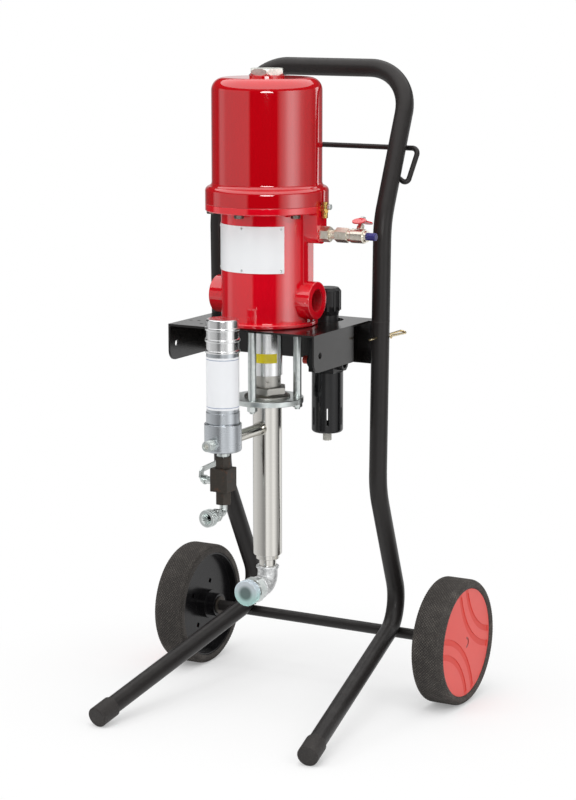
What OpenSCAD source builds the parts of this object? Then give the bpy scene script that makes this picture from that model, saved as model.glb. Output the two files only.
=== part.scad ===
// Cart-mounted airless paint sprayer: a compressed-air motor on a tubular two-wheeled
// cart drives a piston pump below it, with a paint filter and an air regulator.
// X runs across the cart, -Y is the front where the feet are, Z is up.

/* [Wheels and axle] */
// Outside radius of the wheels
wheel_r = 125; // [110:1:150]
// Width of a tyre across its tread
tyre_w = 68; // [50:1:80]
// Distance from the middle of the cart to the outer face of a tyre
wheel_out_x = 329.6; // [315:1:370]
// Thickness of a tyre from its seat on the rim to its tread
tyre_t = 17; // [12:1:24]
// Depth of the cap behind the tyre's outer face
cap_recess = 5.8; // [2:0.1:10]
// Diameter of the axle
axle_d = 22; // [18:1:25]

/* [Frame tube] */
// Outside diameter of the frame tube
tube_d = 35; // [30:1:40]
// Wall of the frame tube
tube_wall = 2; // [1.5:0.1:3]
// Distance of an upright from the middle of the cart at its lower bend
upright_low_x = 175; // [170:1:190]
// Distance of an upright from the middle of the cart at its upper bend
upright_top_x = 180.9; // [174:1:195]
// Distance of the uprights in front of the axle
upright_front = 97.1; // [85:1:110]
// Height of the lower bend of the uprights
lower_bend_z = 436.5; // [400:1:480]
// Height of the upper bend of the uprights
upper_bend_z = 958.7; // [920:1:990]
// Radius of the two slight bends of an upright
slight_bend_r = 150; // [120:5:200]
// Height of the middle of the handle bar
handle_z = 1242.8; // [1200:1:1300]
// Distance of the handle bar behind the axle
handle_back = 26; // [0:1:60]
// Radius of the corners of the handle
handle_bend_r = 90; // [70:1:110]
// Length of the handle spigots inside the uprights
spigot_len = 62; // [50:1:90]

/* [Feet] */
// Distance of a leg from the middle of the cart at its floor bend
leg_corner_x = 161.3; // [150:1:170]
// Distance of the floor bend behind the axle
leg_corner_back = 34.7; // [28:0.5:40]
// Length from the floor bend to the end of the foot
foot_len = 538.7; // [450:1:600]
// Height of the floor bend above the axle
leg_corner_rise = 30.1; // [22:0.1:36]
// Turn of the foot outwards
foot_splay = 7.65; // [3:0.05:12]
// Outside radius of the rubber foot cap
foot_cap_r = 20.6; // [19.5:0.1:24]
// Length of the rubber foot cap
foot_cap_len = 46; // [30:1:60]

/* [Bracket] */
// Height of the top face of the bracket
plate_z = 768.4; // [740:1:790]
// Thickness of the bracket's sheet
sheet = 4; // [3:0.5:5]
// Half of the width of the bracket over its side flanges
plate_half_w = 157.7; // [150:0.5:159]
// Distance of the bracket's front edge in front of the axle
plate_front = 326; // [320:1:345]
// Height of the side flanges
flange_h = 71; // [60:1:80]
// Height of the rear apron behind the uprights
apron_h = 88; // [75:1:95]

/* [Air motor] */
// Distance of the motor and pump axis in front of the axle
motor_front = 222.6; // [215:0.5:230]
// Outside radius of the air cylinder bell
bell_r = 104.5; // [98:0.5:108]
// Wall of the bell
bell_wall = 8.5; // [6:0.5:10]
// Height of the top of the bell
bell_top_z = 1233; // [1200:1:1236]
// Outside radius of the bolted collar
collar_r = 117; // [113:0.5:122]
// Height of the joint between the bell and the motor body
collar_joint_z = 997; // [990:1:1004]
// Outside radius of the motor body
body_r = 87.3; // [84:0.1:89]
// Outside radius of the motor's base flange
base_r = 97; // [93:0.5:98]
// Stroke of the air piston and the pump
stroke = 120; // [80:1:130]
// Height of the air inlet
inlet_z = 945; // [935:1:955]
// Height of the exhaust ports
exhaust_z = 818; // [812:1:826]
// Radius of the exhaust bosses
exhaust_boss_r = 36; // [32:0.5:38]
// Radius of the exhaust ports
exhaust_port_r = 22; // [18:0.5:24]

/* [Pump] */
// Radius of the piston rod
rod_r = 12.5; // [10:0.5:14]
// Outside radius of the pump barrel
barrel_r = 28; // [26:0.5:32]
// Bore radius of the pump barrel
barrel_bore_r = 22; // [19:0.5:23]
// Height of the lower end of the barrel
barrel_low_z = 318; // [300:1:330]
// Height of the top face of the pump flange
pump_flange_z = 626; // [610:1:640]
// Thickness of the pump flange
pump_flange_t = 11; // [8:0.5:14]
// Radius of the pump flange
pump_flange_r = 69.5; // [68:0.5:74]
// Radius of the circle of the tie rods
tie_circle_r = 57.5; // [55:0.5:59]
// Radius of the tie rods
tie_r = 8; // [7:0.5:8.5]

/* [Paint filter] */
// Distance of the filter axis in front of the axle
filter_front = 389; // [380:1:400]
// Height of the outlet of the filter base
filter_port_z = 567; // [560:1:575]
// Outside radius of the filter body
filter_r = 30.5; // [28:0.5:31]

/* [Air regulator] */
// Distance of the regulator from the middle of the cart
regulator_x = 81; // [78:1:84]
// Distance of the regulator axis in front of the axle
regulator_front = 130; // [126:0.5:132]

/* [Fits] */
// Radial clearance of a shaft that turns or slides in its bore
running_fit = 0.05; // [0.02:0.01:0.1]
// Clearance around pieces that move free of each other
free_fit = 0.4; // [0.3:0.05:0.6]

/* [Hidden] */
$fn = 64;

// Finishes
black_paint = [0.13, 0.13, 0.13];
red_paint = [0.80, 0.08, 0.08];
red_plastic = [0.86, 0.32, 0.30];
tyre_black = [0.22, 0.20, 0.18];
black_plastic = [0.10, 0.10, 0.11];
zinc = [0.78, 0.80, 0.82];
steel = [0.72, 0.71, 0.68];
gold_zinc = [0.80, 0.65, 0.35];
brass = [0.80, 0.68, 0.36];
nickel = [0.76, 0.75, 0.70];
white_plate = [0.94, 0.95, 0.96];
teal = [0.55, 0.80, 0.80];
navy = [0.12, 0.10, 0.30];
seal_black = [0.06, 0.06, 0.06];

// Shared small sizes
cut = 1;
face_gap = 0.3;
weld_bite = 0.5;
tube_r = tube_d / 2;
axle_r = axle_d / 2;
motor_y = -motor_front;
upright_y = -upright_front;

// Foot: it rests on the lower edge of its rubber cap
foot_edge_r = 3;
cap_end_t = 6;
foot_reach = norm([foot_len - foot_edge_r, foot_cap_r - foot_edge_r]);
foot_slope = asin((wheel_r + leg_corner_rise - foot_edge_r) / foot_reach)
    - atan((foot_cap_r - foot_edge_r) / (foot_len - foot_edge_r));
foot_dir = [
    cos(foot_slope) * sin(foot_splay),
    -cos(foot_slope) * cos(foot_splay),
    -sin(foot_slope)
];
leg_corner = [leg_corner_x, leg_corner_back, wheel_r + leg_corner_rise];
foot_end = leg_corner + foot_len * foot_dir;

// Uprights
low_bend = [upright_low_x, upright_y, lower_bend_z];
high_bend = [upright_top_x, upright_y, upper_bend_z];
upright_dir = unit(high_bend - low_bend);
seam = low_bend + upright_dir * ((plate_z - lower_bend_z) / upright_dir[2]);
handle_corner = [upright_top_x, handle_back, handle_z];
lean_dir = unit(handle_corner - high_bend);

// The floor bend has the radius that lays the tube on the axle, as a root of
// |corner + k * r - axle| = r + reach, seen along the axle
leg_path = [foot_end - cap_end_t * foot_dir, leg_corner, low_bend, seam];
bisector = unit(unit(foot_end - leg_corner) + unit(low_bend - leg_corner));
bend_k = bisector / cos(turn(leg_path, 1) / 2);
axle_reach = tube_r + axle_r - weld_bite;
off_axle = [leg_corner[1], leg_corner[2] - wheel_r];
k_flat = [bend_k[1], bend_k[2]];
quad_a = k_flat * k_flat - 1;
quad_b = 2 * (k_flat * off_axle - axle_reach);
quad_c = off_axle * off_axle - axle_reach * axle_reach;
floor_bend_r = (-quad_b + sqrt(quad_b * quad_b - 4 * quad_a * quad_c)) / (2 * quad_a);

// The origin is on the floor in the middle of the whole outline
edge_spread = sqrt(1 - foot_dir[1] * foot_dir[1]);
front_y = foot_end[1] - foot_edge_r * foot_dir[1] - (foot_cap_r - foot_edge_r) * edge_spread
    - foot_edge_r;
origin_y = -(front_y + wheel_r) / 2;

// Handle pins
pin_wire_r = 2.2;
pin_z = plate_z - 31;
pin_tip = 45;
pin_eye = 72;
pin_x = seam[0] - upright_dir[0] / upright_dir[2] * (plate_z - pin_z);

// Hose hook
hook_r = 5;
hook_z = 1094;
hook_end_x = 216;
hook_drop = 74;
hook_bend_r = 12;

// Wheel
tyre_in_x = wheel_out_x - tyre_w;
rim_r = wheel_r - tyre_t;
cap_x = wheel_out_x - cap_recess;
cap_t = 3;
tyre_in_edge = 9;
tyre_out_edge = 14;
rim_t = 3.5;
web_x = tyre_in_x + 19;
web_t = 5;
hub_end_x = 243;
slot_circle_r = 49;
slot_w = 9;
retainer_t = 3;
axle_end_x = cap_x - cap_t - 6;

// Air motor
collar_low_z = collar_joint_z - 13;
collar_top_z = collar_joint_z + 24;
shoulder_r = 10;
shoulder_root_r = 8;
bell_edge_r = 24;
bell_bore_r = bell_r - bell_wall;
bell_roof = 12;
base_t = 9;
motor_wall = 8;
chamber_r = body_r - motor_wall;
chamber_low_z = plate_z + 20;
chamber_top_z = collar_low_z - 14;
pad_half_w = 18.8;
pad_x = 90;
inlet_x = 118;
inlet_bore_r = 10.5;
exhaust_x = 109;
exhaust_port_depth = 25;
bolt_circle_r = 105;
bolt_r = 5;
bolt_af = 16;
piston_h = 24;
piston_low_z = collar_joint_z + 8;
seal_h = 8;
spool_x = 66;
spool_r = 9;
spool_low_z = 852;
spool_len = 84;
spool_travel = 14;
spool_boss_r = 15;
plug_af = 60;
plug_boss_r = 33;
plug_low_z = bell_top_z + 4;
plug_h = 12.5;
plug_thread_r = 20;

// Bolts and holes around the motor and in the bracket
bolt_angles = [30 : 60 : 330];
tie_angles = [30, 150, 270];
base_bolt_angles = [90, 210, 330];
base_bolt_circle_r = 48;
plate_holes = [[-143.7, -266.5], [-128.4, -262.1], [-102.3, -295.8]];
plate_hole_r = 3.3;
cap_groove_angle = -44;
cap_groove_centre = 185;
cap_groove_radii = [161, 131];
cap_groove_w = 12;
cap_groove_end_r = rim_r - 8;
groove_t = 1.2;

// Relief valve
relief_r = 5.5;
relief_x = inlet_x + relief_r + 1;
relief_z = collar_joint_z - 7;
relief_knob_z = collar_joint_z - 1;
relief_travel = 2;

// Nameplate
plate_arc_from = -152;
plate_arc_to = -39;
name_low_z = 873;
name_high_z = 961;
name_t = 0.8;

// Air inlet chain, along +X from the inlet boss
nipple_hex_x = inlet_x + 19;
union_x = inlet_x + 32;
union_len = 25;
valve_x = union_x + union_len;
valve_len = 39;
valve_end_x = valve_x + valve_len;
stem_x = valve_x + 20;
stem_r = 4;
stem_boss_top = 22;
wing_z = 31;
valve_tilt = 30;
valve_bore_r = 6.3;
air_ball_r = 9;
inlet_plug_len = 18;

// Pump
oil_cup_low_z = 669;
oil_cup_r = 29;
gland_low_z = 646;
gland_r = 26;
clamp_af = 68;
packing_r = 17;
packing_low_z = 594;
barrel_neck_r = 24;
piston_len = 34;
seat_high_z = barrel_low_z + 26;
seat_z = barrel_low_z + 6;
seat_bore_r = 8;
ball_r = 11;
ball_z = seat_z + sqrt(pow(ball_r + face_gap, 2) - pow(seat_bore_r, 2));
foot_travel = 4;
piston_tail = 20;
rod_low_z = seat_high_z + 8 + piston_tail;
neck_r = 16.6;
seat_ring_r = 22.5;
elbow_r = 19.5;
elbow_leg = 38;
elbow_top_z = barrel_low_z - 25;
elbow_z = elbow_top_z - elbow_leg;
elbow_bore_r = 13;
elbow_band_r = 22.5;
nipple_hex_af = 44;
nipple_hex_len = 20;
nipple_gap = 4;
nipple_thread_len = 22;
suction_cap_r = 25;
suction_cap_len = 15;
suction_face_y = motor_y - elbow_leg;
cap_wall = 2;
suction_end = elbow_leg + nipple_gap + nipple_hex_len + 22;

// Paint filter
filter_y = -filter_front;
base_low_z = filter_port_z - 18;
base_high_z = filter_port_z + 35;
collar_high_z = base_high_z + 22;
filter_base_r = 35;
filter_top_z = 735;
filter_cap_top_z = 798;
filter_bore_r = 25;
screen_r = 19;
branch_r = 11;
outlet_r = 9.5;
outlet_len = 26;
bleed_neck_r = 11.8;

// Bleed valve under the filter
bleed_block_w = 36;
bleed_top_z = 517;
bleed_low_z = 473;
bleed_hex_af = 27;
bleed_hex_low_z = 448;
bleed_hex_high_z = 539;
bleed_mid_z = (bleed_top_z + bleed_low_z) / 2 - 5;
bleed_bore_r = 4;
bleed_stem_r = 4.5;
bleed_out_z = 431;
bleed_tube_r = 7.2;
connector_len = 62;
hose_thread_r = 16.3;
hose_thread_len = 16;

// Air regulator
regulator_y = -regulator_front;
reg_body_half = 27;
reg_port_half = 38;
reg_body_low_z = 668;
reg_body_high_z = 732;
reg_port_z = 686;
reg_port_r = 9;
reg_port_depth = 24;
bonnet_r = 21;
neck_nut_r = 19;
knob_r = 25;
knob_low_z = plate_z + 11;
knob_top_z = 831;
bowl_r = 30.5;
bowl_low_z = 549;
drain_r = 8.5;
reg_stem_r = 6;
drain_low_z = 532;
regulator_hole_r = 31;

// ---- geometry helpers ----
function unit(v) = v / norm(v);
function step_dir(p, i) = unit(p[i + 1] - p[i]);
function turn(p, i) = acos(step_dir(p, i - 1) * step_dir(p, i));
function set_back(p, i, r) = r * tan(turn(p, i) / 2);
function mirrored(p) = [for (v = p) [-v[0], v[1], v[2]]];
function lean_back(z) = upright_y + (z - upper_bend_z) * lean_dir[1] / lean_dir[2];
function side_of(d) = unit(cross(d, abs(d[2]) < 0.9 ? [0, 0, 1] : [1, 0, 0]));

// Puts children's X and Y axes along two given directions at a given origin
module on_axes(o, x, y) {
    z = cross(x, y);
    multmatrix([
        [x[0], y[0], z[0], o[0]],
        [x[1], y[1], z[1], o[1]],
        [x[2], y[2], z[2], o[2]],
        [0, 0, 0, 1]
    ])
        children();
}

// Puts children's Z axis along a direction
module along(o, d) {
    on_axes(o, side_of(d), cross(d, side_of(d))) children();
}

module ring(r, r_in) {
    difference() {
        circle(r);
        if (r_in > 0) circle(r_in);
    }
}

module straight(a, b, r, r_in) {
    along(a, unit(b - a)) linear_extrude(norm(b - a)) ring(r, r_in);
}

// A tube or rod through the points p, with a bend of the given radius at each inner point.
// Each bend is a hair thicker than the straights, which end inside it.
module bent_tube(p, bends, r, r_in = 0) {
    last = len(p) - 1;
    hair = 0.12;
    lap = 0.5;
    union() {
        for (i = [0 : last - 1]) {
            d = step_dir(p, i);
            a = i == 0 ? p[0] : p[i] + d * (set_back(p, i, bends[i - 1]) - lap);
            b = i == last - 1 ? p[last] : p[i + 1] - d * (set_back(p, i + 1, bends[i]) - lap);
            straight(a, b, r, r_in);
        }
        for (i = [1 : last - 1]) {
            before = step_dir(p, i - 1);
            bend = bends[i - 1];
            from = p[i] - before * set_back(p, i, bend);
            inward = unit(step_dir(p, i) - before * (before * step_dir(p, i)));
            on_axes(from + inward * bend, -inward, before)
                rotate_extrude(angle = turn(p, i)) translate([bend, 0])
                    ring(r + hair, max(r_in - hair, 0));
        }
    }
}

module in_place() {
    translate([0, origin_y, 0]) children();
}

module at_motor() {
    in_place() translate([0, motor_y, 0]) children();
}

module at_filter() {
    in_place() translate([0, filter_y, 0]) children();
}

module at_regulator() {
    in_place() translate([regulator_x, regulator_y, 0]) children();
}

// Turned piece: a closed outline of [radius, height] points about Z
module turned(outline) {
    rotate_extrude() polygon(outline);
}

module pipe(r, r_in, low, high) {
    turned([[r_in, low], [r, low], [r, high], [r_in, high]]);
}

module disc(r, low, high) {
    translate([0, 0, low]) cylinder(r = r, h = high - low);
}

module hexagon(af, low, high) {
    translate([0, 0, low]) cylinder(r = af / 2 / cos(30), h = high - low, $fn = 6);
}

// Hexagon with its corners turned off at both ends
module nut_shape(af, low, high, bevel = 1.2) {
    corner_r = af / 2 / cos(30);
    intersection() {
        hexagon(af, low, high);
        turned([
            [0, low], [corner_r - bevel, low], [corner_r, low + bevel],
            [corner_r, high - bevel], [corner_r - bevel, high], [0, high]
        ]);
    }
}

// Points children's Z axis along +X or +Y
module facing_x() {
    rotate([0, 90, 0]) children();
}

module facing_front() {
    rotate([90, 0, 0]) children();
}

// Turned piece with rounded outer edges
module rounded_turn(r_in, r, low, high, e_low, e_high) {
    rotate_extrude() difference() {
        translate([r_in, low]) square([r - r_in, high - low]);
        if (e_low > 0)
            translate([r - e_low, low + e_low]) edge_cut(e_low, -1);
        if (e_high > 0)
            translate([r - e_high, high - e_high]) edge_cut(e_high, 1);
    }
}

module edge_cut(e, side) {
    difference() {
        translate([0, side < 0 ? -e - cut : 0]) square(e + cut);
        circle(e);
    }
}

// ---- frame ----
module leg_shape() {
    pin_hole_r = pin_wire_r + free_fit;
    difference() {
        bent_tube(leg_path, [floor_bend_r, slight_bend_r], tube_r, tube_r - tube_wall);
        translate([-axle_end_x, 0, wheel_r]) facing_x() cylinder(r = axle_r, h = 2 * axle_end_x);
        translate([pin_x, upright_y, pin_z]) facing_front()
            cylinder(r = pin_hole_r, h = 2 * tube_d, center = true);
    }
}

module leg_right() {
    color(black_paint) in_place() leg_shape();
}

module leg_left() {
    color(black_paint) in_place() mirror([1, 0, 0]) leg_shape();
}

module spigot() {
    spigot_r = tube_r - tube_wall - running_fit;
    difference() {
        straight(seam - upright_dir * spigot_len, seam + upright_dir * spigot_len / 2,
            spigot_r, spigot_r - tube_wall);
        translate([pin_x, upright_y, pin_z]) facing_front()
            cylinder(r = pin_wire_r + free_fit, h = 2 * tube_d, center = true);
    }
}

module handle() {
    half = [seam, high_bend, handle_corner];
    path = concat(half, [for (i = [2 : -1 : 0]) mirrored(half)[i]]);
    bends = [slight_bend_r, handle_bend_r, handle_bend_r, slight_bend_r];
    color(black_paint) in_place() {
        bent_tube(path, bends, tube_r, tube_r - tube_wall - weld_bite);
        spigot();
        mirror([1, 0, 0]) spigot();
    }
}

module hose_hook() {
    lean_y = lean_back(hook_z) + (tube_r + hook_r - weld_bite) / lean_dir[2];
    start = [-upright_top_x - 8, lean_y, hook_z];
    outer = [hook_end_x, lean_y, hook_z];
    low = outer - lean_dir * hook_drop - [10, 0, 0];
    tip = low + [-20, 0, 14];
    color(black_paint) in_place() difference() {
        bent_tube([start, outer, low, tip], [hook_bend_r, hook_bend_r - 4], hook_r);
        straight(high_bend, handle_corner, tube_r, 0);
        mirror([1, 0, 0]) straight(high_bend, handle_corner, tube_r, 0);
    }
}

module axle() {
    color(black_paint) in_place() translate([-axle_end_x, 0, wheel_r]) facing_x()
        cylinder(r = axle_r, h = 2 * axle_end_x);
}

module foot_cap() {
    bore_r = tube_r + running_fit;
    along(foot_end, -foot_dir) difference() {
        rounded_turn(0, foot_cap_r, 0, foot_cap_len, foot_edge_r, 1);
        disc(bore_r, cap_end_t, foot_cap_len + cut);
    }
}

module foot_caps() {
    color(seal_black) in_place() {
        foot_cap();
        mirror([1, 0, 0]) foot_cap();
    }
}

// Both uprights as solid bars, to fit a piece against them
module uprights() {
    for (side = [0, 1])
        mirror([side, 0, 0]) straight(low_bend, seam, tube_r, 0);
}

module side_flange() {
    corner_r = 20;
    low = plate_z - flange_h;
    flange_rear = upright_y - tube_r - 53;
    translate([plate_half_w - sheet, 0, 0]) difference() {
        translate([0, -plate_front, low])
            cube([sheet, plate_front + flange_rear, flange_h - sheet + weld_bite]);
        translate([-cut, -plate_front, low]) difference() {
            translate([0, -cut, -cut]) cube([sheet + 2 * cut, corner_r + cut, corner_r + cut]);
            translate([0, corner_r, corner_r]) facing_x()
                cylinder(r = corner_r, h = sheet + 2 * cut);
        }
        translate([-cut, -plate_front + 24, plate_z - 40]) facing_x()
            cylinder(r = 6, h = sheet + 2 * cut);
    }
}

module bracket() {
    rear_y = upright_y + tube_r;
    color(black_paint) in_place() difference() {
        union() {
            translate([-plate_half_w, -plate_front, plate_z - sheet])
                cube([2 * plate_half_w, plate_front + rear_y + sheet, sheet]);
            translate([-upright_top_x, rear_y, plate_z - apron_h])
                cube([2 * upright_top_x, sheet, apron_h - 2]);
            for (side = [0, 1])
                mirror([side, 0, 0]) {
                    side_flange();
                    translate([plate_half_w - weld_bite, upright_y - 9, plate_z - sheet])
                        cube([8, 18, sheet]);
                }
        }
        uprights();
        for (side = [0, 1])
            mirror([side, 0, 0]) translate([pin_x, rear_y - cut, pin_z]) rotate([-90, 0, 0])
                cylinder(r = 2 * pin_wire_r, h = sheet + 2 * cut);
        translate([0, motor_y, plate_z - sheet - cut]) {
            cylinder(r = rod_r + 4, h = sheet + 2 * cut);
            for (a = tie_angles)
                rotate(a) translate([tie_circle_r, 0, 0]) cylinder(r = 5.3, h = sheet + 2 * cut);
            for (a = base_bolt_angles)
                rotate(a) translate([base_bolt_circle_r, 0, 0])
                    cylinder(r = 4.3, h = sheet + 2 * cut);
        }
        translate([regulator_x, regulator_y, plate_z - sheet - cut])
            cylinder(r = regulator_hole_r, h = sheet + 2 * cut);
        for (p = plate_holes)
            translate([p[0], p[1], plate_z - sheet - cut])
                cylinder(r = plate_hole_r, h = sheet + 2 * cut);
    }
}

// ---- wheels ----
module on_wheel(right) {
    in_place() mirror([right ? 0 : 1, 0, 0]) translate([0, 0, wheel_r]) facing_x() children();
}

module tyre_shape() {
    lip = 5;
    lip_w = 9;
    difference() {
        rounded_turn(rim_r, wheel_r, tyre_in_x, wheel_out_x, tyre_in_edge, tyre_out_edge);
        turned([
            [0, wheel_out_x - lip], [rim_r, wheel_out_x - lip],
            [rim_r + lip_w, wheel_out_x + cut], [0, wheel_out_x + cut]
        ]);
    }
}

module rim_shape() {
    bore_r = axle_r + running_fit;
    barrel_out_x = cap_x - cap_t;
    difference() {
        union() {
            pipe(rim_r, rim_r - rim_t, tyre_in_x + 2, barrel_out_x);
            pipe(rim_r - rim_t + weld_bite, bore_r, web_x, web_x + web_t);
            pipe(30, bore_r, hub_end_x + 19, web_x + web_t + 12);
            pipe(24, bore_r, hub_end_x, hub_end_x + 20);
        }
        for (k = [0 : 3])
            rotate(60 + 90 * k) translate([slot_circle_r, 0, web_x + web_t / 2])
                cube([slot_w, slot_w, 2 * web_t], center = true);
    }
}

module wheel_cap_shape() {
    low = cap_x - groove_t;
    difference() {
        rounded_turn(0, rim_r - free_fit, cap_x - cap_t, cap_x, 0, 1);
        intersection() {
            disc(cap_groove_end_r, low, cap_x + cut);
            for (side = [0, 180])
                rotate(cap_groove_angle + side) translate([cap_groove_centre, 0, 0])
                    for (r = cap_groove_radii)
                        pipe(r + cap_groove_w / 2, r - cap_groove_w / 2, low - cut, cap_x + 2 * cut);
        }
        intersection() {
            pipe(11, 8.5, low, cap_x + cut);
            translate([-7, 0, low]) cube([14, 12, cap_t]);
        }
    }
}

module tyre_right() {
    color(tyre_black) on_wheel(true) tyre_shape();
}

module tyre_left() {
    color(tyre_black) on_wheel(false) tyre_shape();
}

module rim_right() {
    color(black_plastic) on_wheel(true) rim_shape();
}

module rim_left() {
    color(black_plastic) on_wheel(false) rim_shape();
}

module wheel_cap_right() {
    color(red_plastic) on_wheel(true) wheel_cap_shape();
}

module wheel_cap_left() {
    color(red_plastic) on_wheel(false) wheel_cap_shape();
}

module axle_retainers() {
    outer_x = web_x + web_t + 12 + face_gap;
    color(zinc) for (right = [false, true])
        on_wheel(right) {
            pipe(18, axle_r, hub_end_x - face_gap - retainer_t, hub_end_x - face_gap);
            pipe(17, axle_r, outer_x, outer_x + retainer_t);
        }
}

// ---- handle pins ----
module handle_pin_shape() {
    y_tip = upright_y - pin_tip;
    y_eye = upright_y + pin_eye + tube_r;
    clear = tube_r + pin_wire_r + face_gap;
    path = [
        [pin_x, y_tip, pin_z],
        [pin_x, y_eye, pin_z],
        [pin_x + 11, y_eye, pin_z - 3],
        [pin_x + 7, upright_y + clear + 12, pin_z - 2],
        [pin_x + clear * sin(50), upright_y + clear * cos(50), pin_z],
        [pin_x + clear * sin(75) + 2, upright_y + clear * cos(75) - 2, pin_z]
    ];
    bent_tube(path, [4, 4, 14, 8], pin_wire_r);
}

module handle_pin_right() {
    color(gold_zinc) in_place() handle_pin_shape();
}

module handle_pin_left() {
    color(gold_zinc) in_place() mirror([1, 0, 0]) handle_pin_shape();
}

// ---- air motor ----
module motor_shell() {
    rounded_turn(0, base_r, plate_z, plate_z + base_t, 3, 3);
    disc(body_r, plate_z + base_t - cut, collar_low_z + cut);
    rounded_turn(0, collar_r, collar_low_z, collar_joint_z, 2, 1);
    for (side = [0, 1])
        rotate(180 * side) translate([0, 0, exhaust_z]) facing_x()
            rounded_turn(0, exhaust_boss_r, 0, exhaust_x, 0, 2);
    translate([spool_x, -pad_half_w, exhaust_z])
        cube([pad_x - spool_x, 2 * pad_half_w, inlet_z - exhaust_z]);
    translate([0, 0, inlet_z]) facing_x() linear_extrude(inlet_x) {
        circle(pad_half_w);
        translate([inlet_z - collar_low_z - cut, -pad_half_w])
            square([collar_low_z - inlet_z + cut, 2 * pad_half_w]);
    }
}

module motor_body() {
    color(red_paint) at_motor() difference() {
        union() {
            difference() {
                motor_shell();
                disc(chamber_r, chamber_low_z, chamber_top_z);
            }
            intersection() {
                disc(body_r - 1, chamber_low_z - cut, chamber_top_z + cut);
                union() {
                    disc(rod_r + 9, chamber_low_z - cut, chamber_top_z + cut);
                    translate([spool_x, 0, 0])
                        disc(spool_boss_r, chamber_low_z - cut, chamber_top_z + cut);
                }
            }
        }
        disc(rod_r + running_fit, plate_z - cut, collar_joint_z + cut);
        translate([spool_x, 0, 0])
            disc(spool_r + running_fit, spool_low_z - 2, collar_joint_z + cut);
        translate([spool_x, 0, inlet_z]) facing_x() cylinder(r = inlet_bore_r, h = inlet_x);
        translate([0, 0, exhaust_z]) facing_x() {
            disc(exhaust_port_r - 4, chamber_r - 12, exhaust_x);
            disc(exhaust_port_r, exhaust_x - exhaust_port_depth, exhaust_x + cut);
            disc(exhaust_port_r, -exhaust_x - cut, -exhaust_x + 1.5);
        }
        for (a = bolt_angles)
            rotate(a) translate([bolt_circle_r, 0, 0])
                disc(bolt_r + free_fit / 2, collar_low_z - cut, collar_joint_z + cut);
        for (a = tie_angles)
            rotate(a) translate([tie_circle_r, 0, 0]) disc(5, plate_z - cut, plate_z + 15);
        for (a = base_bolt_angles)
            rotate(a) translate([base_bolt_circle_r, 0, 0]) disc(4, plate_z - cut, plate_z + 14);
    }
}

// Rounded step from the collar up into the wall of the bell
module collar_shoulder() {
    low = [collar_r - shoulder_r, collar_top_z];
    side = bell_r + shoulder_root_r - low[0];
    high = [low[0] + side, low[1] + sqrt(pow(shoulder_r + shoulder_root_r, 2) - side * side)];
    rotate_extrude() difference() {
        union() {
            translate([0, low[1] - 1]) square([collar_r, 1]);
            intersection() {
                translate(low) circle(r = shoulder_r);
                translate([0, low[1] - 1]) square([collar_r + cut, shoulder_r + 2]);
            }
            polygon([[0, low[1] - cut], low, high, [0, high[1]]]);
        }
        translate(high) circle(r = shoulder_root_r);
    }
}

module motor_bell() {
    color(red_paint) at_motor() difference() {
        union() {
            rounded_turn(0, bell_r, collar_joint_z, bell_top_z, 0, bell_edge_r);
            rounded_turn(0, collar_r, collar_joint_z, collar_top_z, 1, 0);
            collar_shoulder();
            rounded_turn(0, plug_boss_r, bell_top_z - cut, plug_low_z, 0, 1.5);
        }
        disc(bell_bore_r, collar_joint_z - cut, bell_top_z - bell_roof);
        disc(plug_thread_r, bell_top_z - bell_roof - cut, plug_low_z + cut);
        for (a = bolt_angles)
            rotate(a) translate([bolt_circle_r, 0, 0])
                disc(bolt_r, collar_joint_z - cut, collar_joint_z + 15);
    }
}

module motor_bolts() {
    under = plate_z - sheet;
    color(zinc) at_motor() {
        for (a = bolt_angles)
            rotate(a) translate([bolt_circle_r, 0, 0]) {
                nut_shape(bolt_af, collar_low_z - 7, collar_low_z);
                disc(bolt_r, collar_low_z - 1, collar_joint_z + 14);
            }
        for (a = base_bolt_angles)
            rotate(a) translate([base_bolt_circle_r, 0, 0]) {
                nut_shape(13, under - 6, under, 0.8);
                disc(4, under - 1, plate_z + 13);
            }
    }
}

module top_plug() {
    color(zinc) at_motor() {
        nut_shape(plug_af, plug_low_z, plug_low_z + plug_h, 4);
        disc(plug_thread_r, bell_top_z - bell_roof + 2, plug_low_z + 1);
    }
}

module nameplate() {
    color(white_plate) at_motor() difference() {
        rotate(plate_arc_from) translate([0, 0, name_low_z])
            rotate_extrude(angle = plate_arc_to - plate_arc_from)
                translate([body_r + running_fit, 0]) square([name_t, name_high_z - name_low_z]);
        for (a = [plate_arc_from + 4, plate_arc_to - 4], z = [name_low_z + 5, name_high_z - 5])
            rotate(a) translate([body_r - cut, 0, z]) facing_x() cylinder(r = 1.6, h = 4);
    }
}

module relief_valve() {
    color(brass) at_motor() difference() {
        union() {
            translate([relief_x, 0, 0]) {
                disc(relief_r, collar_low_z - 9, collar_joint_z + 8);
                nut_shape(2 * relief_r + 1, collar_low_z + 1, collar_low_z + 6, 0.6);
            }
            translate([0, 0, relief_z]) facing_x() cylinder(r = 3.5, h = relief_x);
            translate([0, 0, relief_knob_z]) facing_x() cylinder(r = 3, h = relief_x + relief_r + 1);
        }
        disc(collar_r, collar_low_z - 2 * bolt_r, collar_top_z);
        translate([relief_x - 2, 0, relief_knob_z]) facing_x()
            cylinder(r = 1.5 + running_fit, h = 3 * relief_r);
    }
}

module relief_knob() {
    knob_x = relief_x + relief_r + 1 + face_gap;
    color(zinc) at_motor() translate([0, 0, relief_knob_z]) facing_x() {
        rounded_turn(0, 5.5, knob_x, knob_x + 6, 1, 1);
        disc(1.5, relief_x, knob_x + 1);
    }
}

module on_inlet() {
    at_motor() translate([0, 0, inlet_z]) facing_x() children();
}

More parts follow.
